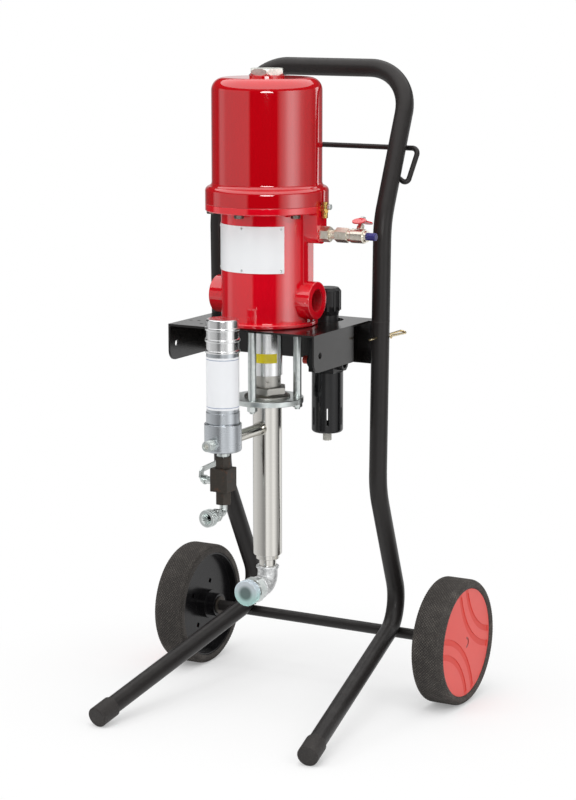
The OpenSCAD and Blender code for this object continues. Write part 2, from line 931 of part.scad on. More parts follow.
module inlet_fittings() {
    color(zinc) on_inlet() difference() {
        union() {
            disc(inlet_bore_r, inlet_x - 14, inlet_x + 1);
            nut_shape(26, inlet_x, nipple_hex_x);
            disc(8.5, nipple_hex_x - cut, union_x + cut);
            nut_shape(24.5, union_x, valve_x);
        }
        disc(valve_bore_r, inlet_x - 15, valve_x + cut);
    }
}

// Frame of the inlet valve: Z along its stem, origin in the middle of its ball
module on_valve_stem() {
    at_motor() translate([stem_x, 0, inlet_z]) rotate([-valve_tilt, 0, 0]) children();
}

module air_valve_body() {
    color(nickel) difference() {
        union() {
            on_inlet() {
                disc(11.5, valve_x, valve_x + 7);
                rounded_turn(0, 13.5, valve_x + 6, valve_end_x - 5, 2, 2);
                disc(10.5, valve_end_x - 6, valve_end_x);
            }
            on_valve_stem() {
                disc(7, 0, stem_boss_top - 3);
                nut_shape(12, stem_boss_top - 4, stem_boss_top, 0.6);
            }
        }
        on_inlet() disc(valve_bore_r, valve_x - cut, valve_end_x + cut);
        on_valve_stem() {
            disc(stem_r + running_fit, 0, stem_boss_top + cut);
            sphere(r = air_ball_r + free_fit);
        }
    }
}

module air_valve_stem() {
    color(zinc) difference() {
        on_valve_stem() {
            sphere(r = air_ball_r);
            disc(stem_r, 0, wing_z + 1);
            disc(stem_r - 1.5, wing_z, wing_z + 8);
            nut_shape(10, wing_z + 2.5, wing_z + 7, 0.6);
        }
        on_inlet() translate([0, 0, stem_x])
            cylinder(r = valve_bore_r - 1, h = 3 * air_ball_r, center = true);
    }
}

module air_valve_handle() {
    color(red_paint) on_valve_stem() difference() {
        union() {
            disc(8, wing_z, wing_z + 2.5);
            wing(45);
            rotate(180) wing(-12);
        }
        disc(stem_r - 1.5, wing_z - cut, wing_z + 4);
        disc(stem_r, wing_z - 5, wing_z + 1);
        nut_shape(12, wing_z + 2.5, wing_z + 12);
    }
}

// One lobe of the butterfly handle, bent down by an angle
module wing(bend_down) {
    translate([0, -5, wing_z + 1.25]) rotate([bend_down, 0, 0])
        linear_extrude(2.5, center = true) translate([0, -10]) circle(13);
}

module inlet_plug() {
    color(navy) on_inlet() {
        disc(valve_bore_r - running_fit, valve_end_x - 8, valve_end_x + 1);
        rounded_turn(0, valve_bore_r + 1, valve_end_x, valve_end_x + inlet_plug_len, 0, 1.5);
    }
}

module air_piston() {
    color(nickel) at_motor() difference() {
        disc(bell_bore_r - free_fit, piston_low_z, piston_low_z + piston_h);
        disc(rod_r, piston_low_z - cut, piston_low_z + piston_h + cut);
        seal_groove(bell_bore_r + cut, bell_bore_r - 6);
    }
}

module seal_groove(r, r_in) {
    middle = piston_low_z + piston_h / 2;
    pipe(r, r_in, middle - seal_h / 2, middle + seal_h / 2);
}

module piston_seal() {
    color(seal_black) at_motor() seal_groove(bell_bore_r - running_fit, bell_bore_r - 6);
}

module piston_rod() {
    color(steel) at_motor() {
        disc(rod_r, rod_low_z, piston_low_z + piston_h);
        nut_shape(36, piston_low_z + piston_h, piston_low_z + piston_h + 14);
    }
}

module valve_spool() {
    color(steel) at_motor() translate([spool_x, 0, 0]) {
        for (k = [0 : 2])
            disc(spool_r, spool_low_z + k * (spool_len - 14) / 2, spool_low_z + k * (spool_len - 14) / 2 + 14);
        disc(5, spool_low_z, spool_low_z + spool_len);
    }
}

// ---- pump ----
module tie_rods() {
    color(zinc) at_motor() for (a = tie_angles)
        rotate(a) translate([tie_circle_r, 0, 0]) {
            disc(tie_r, pump_flange_z, plate_z - sheet);
            disc(5, pump_flange_z - pump_flange_t - 14, plate_z + 14);
        }
}

module tie_rod_nuts() {
    low = pump_flange_z - pump_flange_t;
    color(zinc) at_motor() for (a = tie_angles)
        rotate(a) translate([tie_circle_r, 0, 0]) difference() {
            nut_shape(17, low - 10, low);
            disc(5, low - 20, low + cut);
        }
}

module oil_cup() {
    color(zinc) at_motor() difference() {
        disc(oil_cup_r, oil_cup_low_z, plate_z - sheet);
        disc(oil_cup_r - 4, oil_cup_low_z + 5, plate_z);
        disc(rod_r + running_fit, oil_cup_low_z - cut, plate_z);
    }
}

module gland_nut() {
    color(nickel) at_motor() difference() {
        union() {
            rounded_turn(0, gland_r, gland_low_z, oil_cup_low_z, 1, 1);
            disc(packing_r, gland_low_z - 12, gland_low_z + 1);
        }
        disc(rod_r + free_fit, gland_low_z - 20, oil_cup_low_z + cut);
        for (k = [0 : 5])
            rotate(60 * k) translate([gland_r - 8, 0, (gland_low_z + oil_cup_low_z) / 2])
                facing_x() cylinder(r = 3, h = 10);
    }
}

module packing() {
    color(white_plate) at_motor() pipe(packing_r, rod_r + running_fit, packing_low_z, gland_low_z - 12);
}

module clamp_nut() {
    color(steel) at_motor() difference() {
        union() {
            nut_shape(clamp_af, pump_flange_z + 7, gland_low_z, 2);
            turned([
                [0, pump_flange_z], [44, pump_flange_z], [44, pump_flange_z + 3],
                [36, pump_flange_z + 8], [0, pump_flange_z + 8]
            ]);
        }
        disc(barrel_neck_r, pump_flange_z - cut, gland_low_z - 6);
        disc(packing_r + 1, pump_flange_z, gland_low_z + cut);
    }
}

module pump_flange() {
    low = pump_flange_z - pump_flange_t;
    color(zinc) at_motor() difference() {
        rounded_turn(0, pump_flange_r, low, pump_flange_z, 1.5, 1.5);
        disc(barrel_neck_r, low - cut, pump_flange_z + cut);
        for (a = tie_angles)
            rotate(a) translate([tie_circle_r, 0, 0]) disc(5, low - cut, pump_flange_z + cut);
    }
}

module pump_barrel() {
    high = pump_flange_z - pump_flange_t;
    color(nickel) at_motor() difference() {
        union() {
            disc(barrel_r, barrel_low_z, high);
            disc(barrel_neck_r, high - cut, gland_low_z - 6);
        }
        disc(barrel_bore_r, barrel_low_z - cut, packing_low_z - 8);
        disc(rod_r + free_fit, packing_low_z - 10, packing_low_z + cut);
        disc(packing_r, packing_low_z, gland_low_z);
        translate([0, 0, filter_port_z]) facing_front() cylinder(r = branch_r - 3, h = barrel_r + cut);
    }
}

module pump_piston() {
    color(steel) at_motor() difference() {
        disc(barrel_bore_r - running_fit, rod_low_z - piston_tail, rod_low_z + 22);
        disc(rod_r, rod_low_z, rod_low_z + 30);
        disc(7, rod_low_z - 30, rod_low_z + cut);
        for (k = [0 : 5])
            rotate(60 * k) translate([(rod_r + barrel_bore_r) / 2, 0, 0])
                disc(2.5, rod_low_z - 30, rod_low_z + 30);
        pipe(barrel_bore_r + cut, barrel_bore_r - 3, rod_low_z - 4, rod_low_z + 4);
    }
}

module foot_valve_seat() {
    color(nickel) at_motor() difference() {
        union() {
            disc(barrel_bore_r, barrel_low_z, seat_high_z);
            rounded_turn(0, barrel_r - 1, barrel_low_z - 3, barrel_low_z, 1, 0);
            rounded_turn(0, seat_ring_r, barrel_low_z - 12, barrel_low_z - 2, 1.5, 0);
            disc(neck_r, elbow_top_z - 8, barrel_low_z);
        }
        disc(seat_bore_r, elbow_top_z - 10, seat_high_z);
        disc(ball_r + 2 * face_gap, seat_z, seat_high_z + cut);
        for (side = [0, 180])
            rotate(side - 23) translate([seat_ring_r, 0, barrel_low_z - 9])
                cube([8, 12, 12], center = true);
    }
}

module foot_valve_ball() {
    color(steel) at_motor() translate([0, 0, ball_z]) sphere(r = ball_r);
}

// Axis of the elbow from its upper mouth to its front mouth
module elbow_tube(r, r_in, longer = 0) {
    path = [[0, 0, elbow_top_z + longer], [0, 0, elbow_z], [0, -elbow_leg - longer, elbow_z]];
    bent_tube(path, [22], r, r_in);
}

module suction_elbow() {
    band = 6.5;
    color(zinc) at_motor() difference() {
        union() {
            elbow_tube(elbow_r, 0);
            rounded_turn(0, elbow_band_r, elbow_top_z - band, elbow_top_z, 3, 3);
            translate([0, band - elbow_leg, elbow_z]) facing_front()
                rounded_turn(0, elbow_band_r, 0, band, 3, 3);
        }
        elbow_tube(elbow_bore_r, 0, cut);
        disc(neck_r, elbow_top_z - 8, elbow_top_z + cut);
        translate([0, -elbow_leg + 10, elbow_z]) facing_front() cylinder(r = neck_r, h = 12);
    }
}

module on_suction() {
    at_motor() translate([0, 0, elbow_z]) facing_front() children();
}

module suction_nipple() {
    hex_low = elbow_leg + nipple_gap;
    color(zinc) on_suction() difference() {
        union() {
            disc(neck_r, elbow_leg - 10, hex_low + 1);
            nut_shape(nipple_hex_af, hex_low, hex_low + nipple_hex_len, 2);
            disc(suction_cap_r - cap_wall, hex_low + nipple_hex_len - cut, suction_end);
        }
        disc(elbow_bore_r, elbow_leg - 11, suction_end + cut);
    }
}

module suction_cap() {
    color(teal) on_suction() difference() {
        rounded_turn(0, suction_cap_r, suction_end - suction_cap_len + cap_wall, suction_end + cap_wall, 0, 2);
        disc(suction_cap_r - cap_wall + running_fit, 0, suction_end);
    }
}

// ---- paint filter ----
module branch_tube() {
    color(nickel) in_place() difference() {
        translate([0, motor_y, filter_port_z]) facing_front() {
            pipe(branch_r, branch_r - 3, 0, filter_front - motor_front);
            pipe(branch_r + 2.5, branch_r - 3, barrel_r - 2, barrel_r + 6);
        }
        translate([0, motor_y, 0]) disc(barrel_r, filter_port_z - 30, filter_port_z + 30);
        translate([0, filter_y, 0]) disc(filter_base_r, filter_port_z - 30, filter_port_z + 30);
    }
}

module filter_base() {
    color(zinc) at_filter() difference() {
        union() {
            rounded_turn(0, filter_base_r, base_low_z, base_high_z, 5, 1.5);
            disc(filter_r - 1, base_high_z - cut, base_high_z + 2);
            rounded_turn(0, filter_r + 1, base_high_z + 1.5, collar_high_z, 1, 1);
            disc(screen_r - 4, collar_high_z - cut, collar_high_z + 8);
        }
        disc(7, filter_port_z, collar_high_z + 10);
        translate([0, 0, filter_port_z]) rotate([-90, 0, 0]) cylinder(r = branch_r - 3, h = 50);
        translate([0, 0, filter_port_z]) facing_front() cylinder(r = outlet_r - 2, h = 50);
        disc(bleed_neck_r - 3, base_low_z - cut, base_low_z + 6);
        disc(4, base_low_z - cut, filter_port_z);
    }
}

module filter_body() {
    color(zinc) at_filter() pipe(filter_r, filter_bore_r, collar_high_z, filter_top_z);
}

module filter_cap() {
    ring_gap = (filter_cap_top_z - filter_top_z) / 3;
    color(zinc) at_filter() difference() {
        union() {
            rounded_turn(0, filter_r, filter_top_z, filter_cap_top_z, 0.5, 3);
            for (k = [0 : 2])
                translate([0, 0, filter_top_z + k * ring_gap]) rounded_turn(0, filter_r + 2.5, 0, 6, 2, 2);
        }
        disc(filter_bore_r, filter_top_z - cut, filter_cap_top_z - 12);
    }
}

module filter_screen() {
    color(steel) at_filter() difference() {
        disc(screen_r, collar_high_z, filter_top_z - 6);
        disc(screen_r - 4, collar_high_z - cut, filter_top_z - 10);
    }
}

// ---- bleed valve ----
module bleed_valve_body() {
    color(black_plastic) at_filter() difference() {
        union() {
            nut_shape(bleed_hex_af, bleed_top_z - cut, bleed_hex_high_z);
            translate([-bleed_block_w / 2, -bleed_block_w / 2, bleed_low_z])
                cube([bleed_block_w, bleed_block_w, bleed_top_z - bleed_low_z]);
            nut_shape(bleed_hex_af, bleed_hex_low_z, bleed_low_z + cut);
        }
        disc(bleed_bore_r, bleed_hex_low_z - cut, bleed_hex_high_z + cut);
        translate([0, 0, bleed_mid_z]) rotate([0, -90, 0])
            disc(bleed_stem_r + running_fit, -bleed_bore_r - 1, bleed_block_w);
    }
}

module bleed_lever() {
    face = bleed_block_w / 2;
    arm_t = 4;
    hub_len = 20;
    color(zinc) at_filter() translate([0, 0, bleed_mid_z]) rotate([0, -90, 0]) {
        disc(bleed_stem_r, -bleed_bore_r, face + hub_len + 5);
        disc(7, face + face_gap, face + hub_len);
        nut_shape(10, face + hub_len + arm_t - 1, face + hub_len + arm_t + 5, 0.6);
        translate([0, 0, face + hub_len - weld_bite]) linear_extrude(arm_t) {
            circle(9);
            polygon([[-4, -8], [8, -20], [20, -18], [26, -11], [29, 44], [20, 44], [17, -7],
                [12, -9], [6, 6]]);
        }
    }
}

module filter_fittings() {
    color(zinc) at_filter() {
        outlet_fitting();
        bleed_nipple();
        hose_connector();
    }
}

module outlet_fitting() {
    translate([0, 0, filter_port_z]) facing_front() difference() {
        union() {
            disc(outlet_r - 2, filter_base_r - 10, filter_base_r + 2);
            difference() {
                nut_shape(20, filter_base_r - 6, filter_base_r + 9);
                rotate([-90, 0, 0]) translate([0, 0, -30]) cylinder(r = filter_base_r, h = 60);
            }
            rounded_turn(0, outlet_r, filter_base_r + 8, filter_base_r + outlet_len, 0, 1);
        }
        disc(outlet_r - 4, filter_base_r - 12, filter_base_r + outlet_len + cut);
    }
}

module bleed_nipple() {
    difference() {
        union() {
            disc(bleed_neck_r, bleed_hex_high_z, base_low_z);
            disc(bleed_neck_r - 3, base_low_z - cut, base_low_z + 6);
        }
        disc(4, bleed_hex_high_z - cut, base_low_z + 7);
    }
}

// Elbow under the bleed valve and the hose thread it points forward with
module hose_connector() {
    elbow_path = [[0, 0, bleed_hex_low_z], [0, 0, bleed_out_z], [0, -24, bleed_out_z]];
    cone_r = 10.5;
    difference() {
        union() {
            bent_tube(elbow_path, [9], bleed_tube_r);
            translate([0, 0, bleed_out_z]) facing_front() {
                nut_shape(22, 20, 32);
                disc(11, 32 - cut, connector_len - hose_thread_len - 3);
                disc(hose_thread_r - 2.5, connector_len - hose_thread_len - 4, connector_len - 1);
                rounded_turn(0, hose_thread_r, connector_len - hose_thread_len, connector_len, 1, 1.5);
            }
        }
        bent_tube([[0, 0, bleed_hex_low_z + cut], elbow_path[1], elbow_path[2]], [9], 4);
        translate([0, 0, bleed_out_z]) facing_front() {
            disc(4, 23, connector_len + cut);
            turned([
                [0, connector_len - 11], [4, connector_len - 11], [cone_r, connector_len],
                [cone_r, connector_len + cut], [0, connector_len + cut]
            ]);
        }
    }
}

// ---- air regulator ----
module regulator_body() {
    color(black_plastic) at_regulator() difference() {
        union() {
            translate([-reg_body_half, -reg_body_half, reg_body_low_z])
                cube([2 * reg_body_half, 2 * reg_body_half, reg_body_high_z - reg_body_low_z]);
            translate([-reg_port_half, 0, reg_port_z]) facing_x() cylinder(r = 14, h = 2 * reg_port_half);
            disc(bonnet_r - 6, reg_body_high_z - cut, knob_low_z - 1);
            disc(bonnet_r, plate_z - 8, knob_low_z - 1);
        }
        translate([-reg_port_half, 0, reg_port_z]) facing_x() {
            disc(reg_port_r, -cut, reg_port_depth);
            disc(reg_port_r - 4, 0, 2 * reg_port_half);
            disc(reg_port_r, 2 * reg_port_half - reg_port_depth, 2 * reg_port_half + cut);
        }
        disc(reg_stem_r + running_fit, reg_body_high_z, knob_low_z);
    }
}

module regulator_knob() {
    color(black_plastic) at_regulator() {
        turned([
            [0, knob_low_z - 1 + face_gap], [knob_r - 4, knob_low_z - 1 + face_gap],
            [knob_r, knob_low_z + 16], [knob_r, knob_top_z - 5], [knob_r - 4, knob_top_z],
            [0, knob_top_z]
        ]);
        disc(reg_stem_r, reg_body_high_z + 2, knob_low_z + 1);
        for (k = [0 : 11])
            rotate(30 * k) translate([knob_r - 3, -2, knob_low_z + 8])
                cube([4, 4, knob_top_z - knob_low_z - 14]);
    }
}

module regulator_bowl() {
    color(black_plastic) at_regulator() difference() {
        rounded_turn(0, bowl_r, bowl_low_z, reg_body_low_z, 6, 0);
        disc(bowl_r - 3, bowl_low_z + 4, reg_body_low_z + cut);
        disc(drain_r - 2, bowl_low_z - cut, bowl_low_z + 6);
        for (k = [0 : 5])
            rotate(60 * k) translate([bowl_r - 6, -2, bowl_low_z + 16]) cube([12, 4, 34]);
    }
}

module regulator_drain() {
    color(white_plate) at_regulator() {
        rounded_turn(0, drain_r, drain_low_z, bowl_low_z - face_gap, 1, 0);
        disc(drain_r - 2 - free_fit, bowl_low_z - 1, bowl_low_z + 8);
    }
}

module regulator_bracket() {
    rear = upright_y + tube_r - regulator_y;
    color(black_paint) at_regulator() difference() {
        union() {
            translate([-20, -20, reg_body_high_z]) cube([40, 20 + rear, 3]);
            translate([-20, rear - 3, reg_body_high_z - 34]) cube([40, 3, 37]);
            disc(neck_nut_r, reg_body_high_z + 3, reg_body_high_z + 10);
        }
        disc(bonnet_r - 6, reg_body_high_z - cut, reg_body_high_z + 20);
    }
}

module regulator_plug() {
    color(red_plastic) at_regulator() translate([-reg_port_half, 0, reg_port_z]) rotate([0, -90, 0]) {
        disc(reg_port_r - running_fit, -8, 1);
        rounded_turn(0, reg_port_r - 1, 0, 14, 0, 1.5);
    }
}

leg_left();
leg_right();
handle();
hose_hook();
axle();
foot_caps();
bracket();
tyre_left();
tyre_right();
rim_left();
rim_right();
wheel_cap_left();
wheel_cap_right();
axle_retainers();
handle_pin_left();
handle_pin_right();
motor_body();
motor_bell();
motor_bolts();
top_plug();
nameplate();
relief_valve();
relief_knob();
inlet_fittings();
air_valve_body();
air_valve_stem();
air_valve_handle();
inlet_plug();
air_piston();
piston_seal();
piston_rod();
pump_piston();
valve_spool();
tie_rods();
tie_rod_nuts();
oil_cup();
gland_nut();
packing();
clamp_nut();
pump_flange();
pump_barrel();
foot_valve_seat();
foot_valve_ball();
suction_elbow();
suction_nipple();
suction_cap();
branch_tube();
filter_base();
filter_body();
filter_cap();
filter_screen();
filter_fittings();
bleed_valve_body();
bleed_lever();
regulator_body();
regulator_knob();
regulator_bowl();
regulator_drain();
regulator_bracket();
regulator_plug();
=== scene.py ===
"""Finishes, treads, labels, threads, welds and studio of a cart-mounted airless paint sprayer."""

import logging
import math
from dataclasses import dataclass, field
from enum import Enum
from typing import ClassVar

import bpy
import numpy as np
from mathutils import Matrix, Vector


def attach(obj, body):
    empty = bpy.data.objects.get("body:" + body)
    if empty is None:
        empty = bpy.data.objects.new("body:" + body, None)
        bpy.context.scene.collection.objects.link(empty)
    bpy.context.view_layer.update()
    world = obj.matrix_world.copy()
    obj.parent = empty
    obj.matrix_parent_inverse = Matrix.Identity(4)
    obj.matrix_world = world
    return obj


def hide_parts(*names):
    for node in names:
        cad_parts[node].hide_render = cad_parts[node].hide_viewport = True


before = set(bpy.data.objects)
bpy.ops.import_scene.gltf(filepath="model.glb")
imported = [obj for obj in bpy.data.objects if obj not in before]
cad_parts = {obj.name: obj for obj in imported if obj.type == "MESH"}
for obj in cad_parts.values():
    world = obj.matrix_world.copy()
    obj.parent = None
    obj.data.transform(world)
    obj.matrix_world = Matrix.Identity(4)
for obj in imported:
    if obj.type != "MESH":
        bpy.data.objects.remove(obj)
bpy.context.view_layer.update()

LOG = logging.getLogger("sprayer")

Colour = tuple[float, float, float]
Point = tuple[float, float, float]
Shape = tuple[np.ndarray, np.ndarray]
MM = 0.001
EDGE_SAMPLES = 6
PUMP_Y = -41.569 * MM
FILTER_Y = -207.969 * MM
AXLE_Y = 181.031 * MM
WHEEL_RADIUS = 125 * MM
SUCTION_HEIGHT = 255 * MM
RIVET_SHANK = 0.8 * MM


# ---------------------------------------------------------------- node graphs
class Wire:
    """A node socket that takes part in Python arithmetic."""

    def __init__(self, graph: "Graph", socket: bpy.types.NodeSocket | None) -> None:
        """Keeps a node's output, or None behind an end node, and the graph that it belongs to."""
        self.graph = graph
        self.socket = socket

    def maths(self, operation: str, *values: "Wire | float") -> "Wire":
        """Result of one Math node, by its operation and its inputs in order."""
        return self.graph.node("ShaderNodeMath", {"operation": operation}, dict(enumerate(values)))

    def output(self, name: str) -> "Wire":
        """Another output of the same node."""
        return Wire(self.graph, self.socket.node.outputs[name])

    def __add__(self, other: "Wire | float") -> "Wire":
        """Sum."""
        return self.maths("ADD", self, other)

    def __sub__(self, other: "Wire | float") -> "Wire":
        """Difference."""
        return self.maths("SUBTRACT", self, other)

    def __rsub__(self, other: float) -> "Wire":
        """Difference from a number."""
        return self.maths("SUBTRACT", other, self)

    def __mul__(self, other: "Wire | float") -> "Wire":
        """Product."""
        return self.maths("MULTIPLY", self, other)

    def __truediv__(self, other: "Wire | float") -> "Wire":
        """Quotient."""
        return self.maths("DIVIDE", self, other)

    def __pow__(self, other: float) -> "Wire":
        """Power."""
        return self.maths("POWER", self, other)

    def __gt__(self, other: "Wire | float") -> "Wire":
        """1 where this is the greater, else 0."""
        return self.maths("GREATER_THAN", self, other)

    def __lt__(self, other: "Wire | float") -> "Wire":
        """1 where this is the smaller, else 0."""
        return self.maths("LESS_THAN", self, other)

    def __abs__(self) -> "Wire":
        """Absolute value."""
        return self.maths("ABSOLUTE", self)

    __radd__ = __add__
    __rmul__ = __mul__

    def span(self, low: float, high: float) -> "Wire":
        """A smooth 0 to 1 as this runs from low to high."""
        settings = {"interpolation_type": "SMOOTHSTEP"}
        return self.graph.node("ShaderNodeMapRange", settings, {0: self, 1: low, 2: high})

    def near(self, middle: float, half_width: float) -> "Wire":
        """1 within half_width of middle, else 0."""
        return abs(self - middle) < half_width


class Graph:
    """A shader tree and the one way in which its nodes are made."""

    def __init__(self, tree: bpy.types.NodeTree) -> None:
        """Empties the tree of a material or world for new nodes."""
        tree.nodes.clear()
        self.tree = tree

    def node(
        self,
        kind: str,
        settings: dict[str, object] | None = None,
        inputs: dict[int | str, object] | None = None,
        output: int | str = 0,
    ) -> Wire:
        """Adds a node.

        Args:
            kind: The node's type.
            settings: Its own settings, set first. "stops" are those of a ramp.
            inputs: Values or wires of its sockets.
            output: The output to return.

        Returns:
            That output.
        """
        made = self.tree.nodes.new(kind)
        for key, value in (settings or {}).items():
            if key == "stops":
                self.set_stops(made.color_ramp, value)
            else:
                setattr(made, key, value)
        for key, value in (inputs or {}).items():
            if isinstance(value, Wire):
                self.tree.links.new(value.socket, made.inputs[key])
            else:
                made.inputs[key].default_value = value
        return Wire(self, made.outputs[output] if made.outputs else None)

    @staticmethod
    def set_stops(ramp: bpy.types.ColorRamp, stops: list[tuple[float, float]]) -> None:
        """Gives a ramp its grey stops.

        Args:
            ramp: The ramp.
            stops: Pairs of position and value.
        """
        while len(ramp.elements) < len(stops):
            ramp.elements.new(1.0)
        for element, (position, value) in zip(ramp.elements, stops):
            element.position = position
            element.color = (value, value, value, 1.0)

    def place(self, scale: Point = (1.0, 1.0, 1.0)) -> Wire:
        """Position on the object in metres, stretched by a scale along each axis."""
        spot = self.node("ShaderNodeTexCoord", output="Object")
        return self.node("ShaderNodeVectorMath", {"operation": "MULTIPLY"}, {0: spot, 1: scale})

    def axes(self) -> tuple[Wire, Wire, Wire]:
        """The position's three numbers in metres."""
        split = self.node("ShaderNodeSeparateXYZ", inputs={0: self.place()})
        return split, split.output("Y"), split.output("Z")

    def noise(self, size: float, detail: float = 2.0, stretch: Point = (1.0, 1.0, 1.0)) -> Wire:
        """Noise of about 0 to 1, by its features' size in metres, its octaves and a scale along each axis."""
        inputs = {"Vector": self.place(stretch), "Scale": 1.0 / size, "Detail": detail}
        return self.node("ShaderNodeTexNoise", inputs=inputs)

    def cells(self, size: float, channel: int) -> Wire:
        """One random number for each crystal-like cell, from a channel of its colour."""
        cell = self.node("ShaderNodeTexVoronoi", inputs={"Vector": self.place(), "Scale": 1.0 / size}, output="Color")
        return self.node("ShaderNodeSeparateColor", inputs={0: cell}, output=channel)

    def blend(self, share: Wire | float, first: object, second: object) -> Wire:
        """The first colour with a share of the second over it."""
        settings = {"data_type": "RGBA", "clamp_factor": True}
        return self.node("ShaderNodeMix", settings, {0: share, 6: first, 7: second}, 2)


def rgba(colour: Colour, gain: float = 1.0) -> tuple[float, float, float, float]:
    """A colour with full alpha, made lighter or darker by a gain."""
    return (min(colour[0] * gain, 1.0), min(colour[1] * gain, 1.0), min(colour[2] * gain, 1.0), 1.0)


# ---------------------------------------------------------------- finishes
@dataclass(frozen=True)
class Finish:
    """A surface finish. The plain one is a smooth moulding or sheet."""

    name: str
    colour: Colour
    roughness: float
    metallic: float = 0.0
    coat: float = 0.0
    drift: float = 0.08
    drift_size: float = 0.05
    gloss_drift: float = 0.06
    relief_depth: float = 0.02 * MM
    relief_size: float = 0.6 * MM
    edge: float = 0.0
    coat_roughness: float = 0.03
    fixed: tuple[tuple[str, float], ...] = ()

    def material(self) -> bpy.types.Material:
        """The material of this finish, made once.

        Returns:
            The material.
        """
        known = bpy.data.materials.get(self.name)
        if known:
            return known
        made = bpy.data.materials.new(self.name)
        made.use_nodes = True
        graph = Graph(made.node_tree)
        bump = {"Strength": 1.0, "Distance": self.relief_depth, "Height": self.relief(graph)}
        if self.edge:
            bump["Normal"] = graph.node("ShaderNodeBevel", {"samples": EDGE_SAMPLES}, {"Radius": self.edge})
        inputs: dict[int | str, object] = {
            "Base Color": self.tint(graph),
            "Roughness": self.gloss(graph),
            "Metallic": self.metal(graph),
            "Coat Weight": self.coat,
            "Coat Roughness": self.coat_roughness,
            "Normal": graph.node("ShaderNodeBump", inputs=bump),
            **dict(self.fixed),
        }
        shader = graph.node("ShaderNodeBsdfPrincipled", inputs=inputs)
        graph.node("ShaderNodeOutputMaterial", inputs={"Surface": shader})
        return made

    def tint(self, graph: Graph) -> Wire:
        """Colour over the surface: a slow drift about the base colour.

        Args:
            graph: The material's graph.

        Returns:
            The colour.
        """
        share = graph.noise(self.drift_size, 3.0)
        dark, light = rgba(self.colour, 1.0 - self.drift), rgba(self.colour, 1.0 + self.drift)
        return graph.blend(share, dark, light)

    def gloss(self, graph: Graph) -> Wire:
        """Roughness over the surface."""
        return (graph.noise(self.drift_size / 3, 4.0) - 0.5) * self.gloss_drift + self.roughness

    def metal(self, graph: Graph) -> Wire | float:
        """Metallic share over the surface."""
        return self.metallic

    def relief(self, graph: Graph) -> Wire:
        """Height of the fine relief, from about 0 to 1."""
        return graph.noise(self.relief_size, 2.0)


@dataclass(frozen=True)
class PowderCoat(Finish):
    """Baked powder: an orange-peel skin that keeps a little dust on what faces up."""

    dust: Colour = (0.30, 0.28, 0.26)
    dust_share: float = 0.035

    def tint(self, graph: Graph) -> Wire:
        """Dust where the surface faces up, in faint patches.

        Args:
            graph: The material's graph.

        Returns:
            The colour.
        """
        normal = graph.node("ShaderNodeNewGeometry", output="Normal")
        up = graph.node("ShaderNodeSeparateXYZ", inputs={0: normal}).output("Z")
        patches = graph.noise(0.03, 4.0).span(0.42, 0.75)
        return graph.blend(up.span(0.3, 1.0) * patches * self.dust_share, super().tint(graph), rgba(self.dust))

    def relief(self, graph: Graph) -> Wire:
        """Orange peel over a fine grain."""
        return graph.noise(2.2 * MM, 1.0) * 0.75 + graph.noise(0.5 * MM, 2.0) * 0.25


@dataclass(frozen=True)
class CastEnamel(Finish):
    """Gloss enamel over a cast wall, whose slight waves show in its reflections."""

    waves: float = 0.5

    def relief(self, graph: Graph) -> Wire:
        """Casting waves under a faint orange peel."""
        return graph.noise(9 * MM, 2.0) * self.waves + graph.noise(1.6 * MM, 1.0) * 0.10


@dataclass(frozen=True)
class Plated(Finish):
    """Electroplated steel: cloudy, with a second tint in places."""

    second: Colour = (0.6, 0.6, 0.6)
    cloud_size: float = 0.008

    def tint(self, graph: Graph) -> Wire:
        """Clouds of the second tint."""
        share = graph.noise(self.cloud_size, 4.0).span(0.35, 0.70)
        return graph.blend(share, rgba(self.colour), rgba(self.second))

    def relief(self, graph: Graph) -> Wire:
        """Tool marks and a fine pitting."""
        pits = graph.noise(0.35 * MM, 2.0)
        return pits * 0.6 + graph.noise(1.6 * MM, 2.0, (1.0, 1.0, 0.2)) * 0.4


class Axis(Enum):
    """The axis about which a piece was turned on the lathe."""

    X = (1.0, 0.0, 0.0)
    Y = (0.0, 1.0, 0.0)
    Z = (0.0, 0.0, 1.0)


@dataclass(frozen=True)
class Turned(Finish):
    """Bare metal with the fine rings that a lathe or grinder leaves."""

    axis: Axis = Axis.Z
    ring_size: float = 0.5 * MM

    def tint(self, graph: Graph) -> Wire:
        """Faint rings of lighter and darker metal."""
        rings = graph.noise(self.ring_size * 4, 3.0, self.axis.value)
        return graph.blend(rings, rgba(self.colour, 0.90), rgba(self.colour, 1.06))

    def gloss(self, graph: Graph) -> Wire:
        """Rings of changing gloss, broken by finger-size clouds.

        Args:
            graph: The material's graph.

        Returns:
            The roughness.
        """
        rings = graph.noise(self.ring_size * 2, 3.0, self.axis.value) - 0.5
        clouds = graph.noise(0.02, 3.0) - 0.5
        return rings * self.gloss_drift + clouds * 0.08 + self.roughness

    def relief(self, graph: Graph) -> Wire:
        """Lathe rings."""
        return graph.noise(self.ring_size, 2.0, self.axis.value)


@dataclass(frozen=True)
class Galvanised(Finish):
    """Hot-dip zinc over a malleable casting, with a crystal spangle."""

    spangle: float = 3.2 * MM

    def tint(self, graph: Graph) -> Wire:
        """Spangle cells, each a slightly different grey."""
        return graph.blend(graph.cells(self.spangle, 0), rgba(self.colour, 0.78), rgba(self.colour, 1.12))

    def gloss(self, graph: Graph) -> Wire:
        """Each crystal has its own gloss."""
        return graph.cells(self.spangle, 1) * 0.22 + self.roughness

    def relief(self, graph: Graph) -> Wire:
        """The casting's skin under the zinc."""
        return graph.noise(2.4 * MM, 3.0)


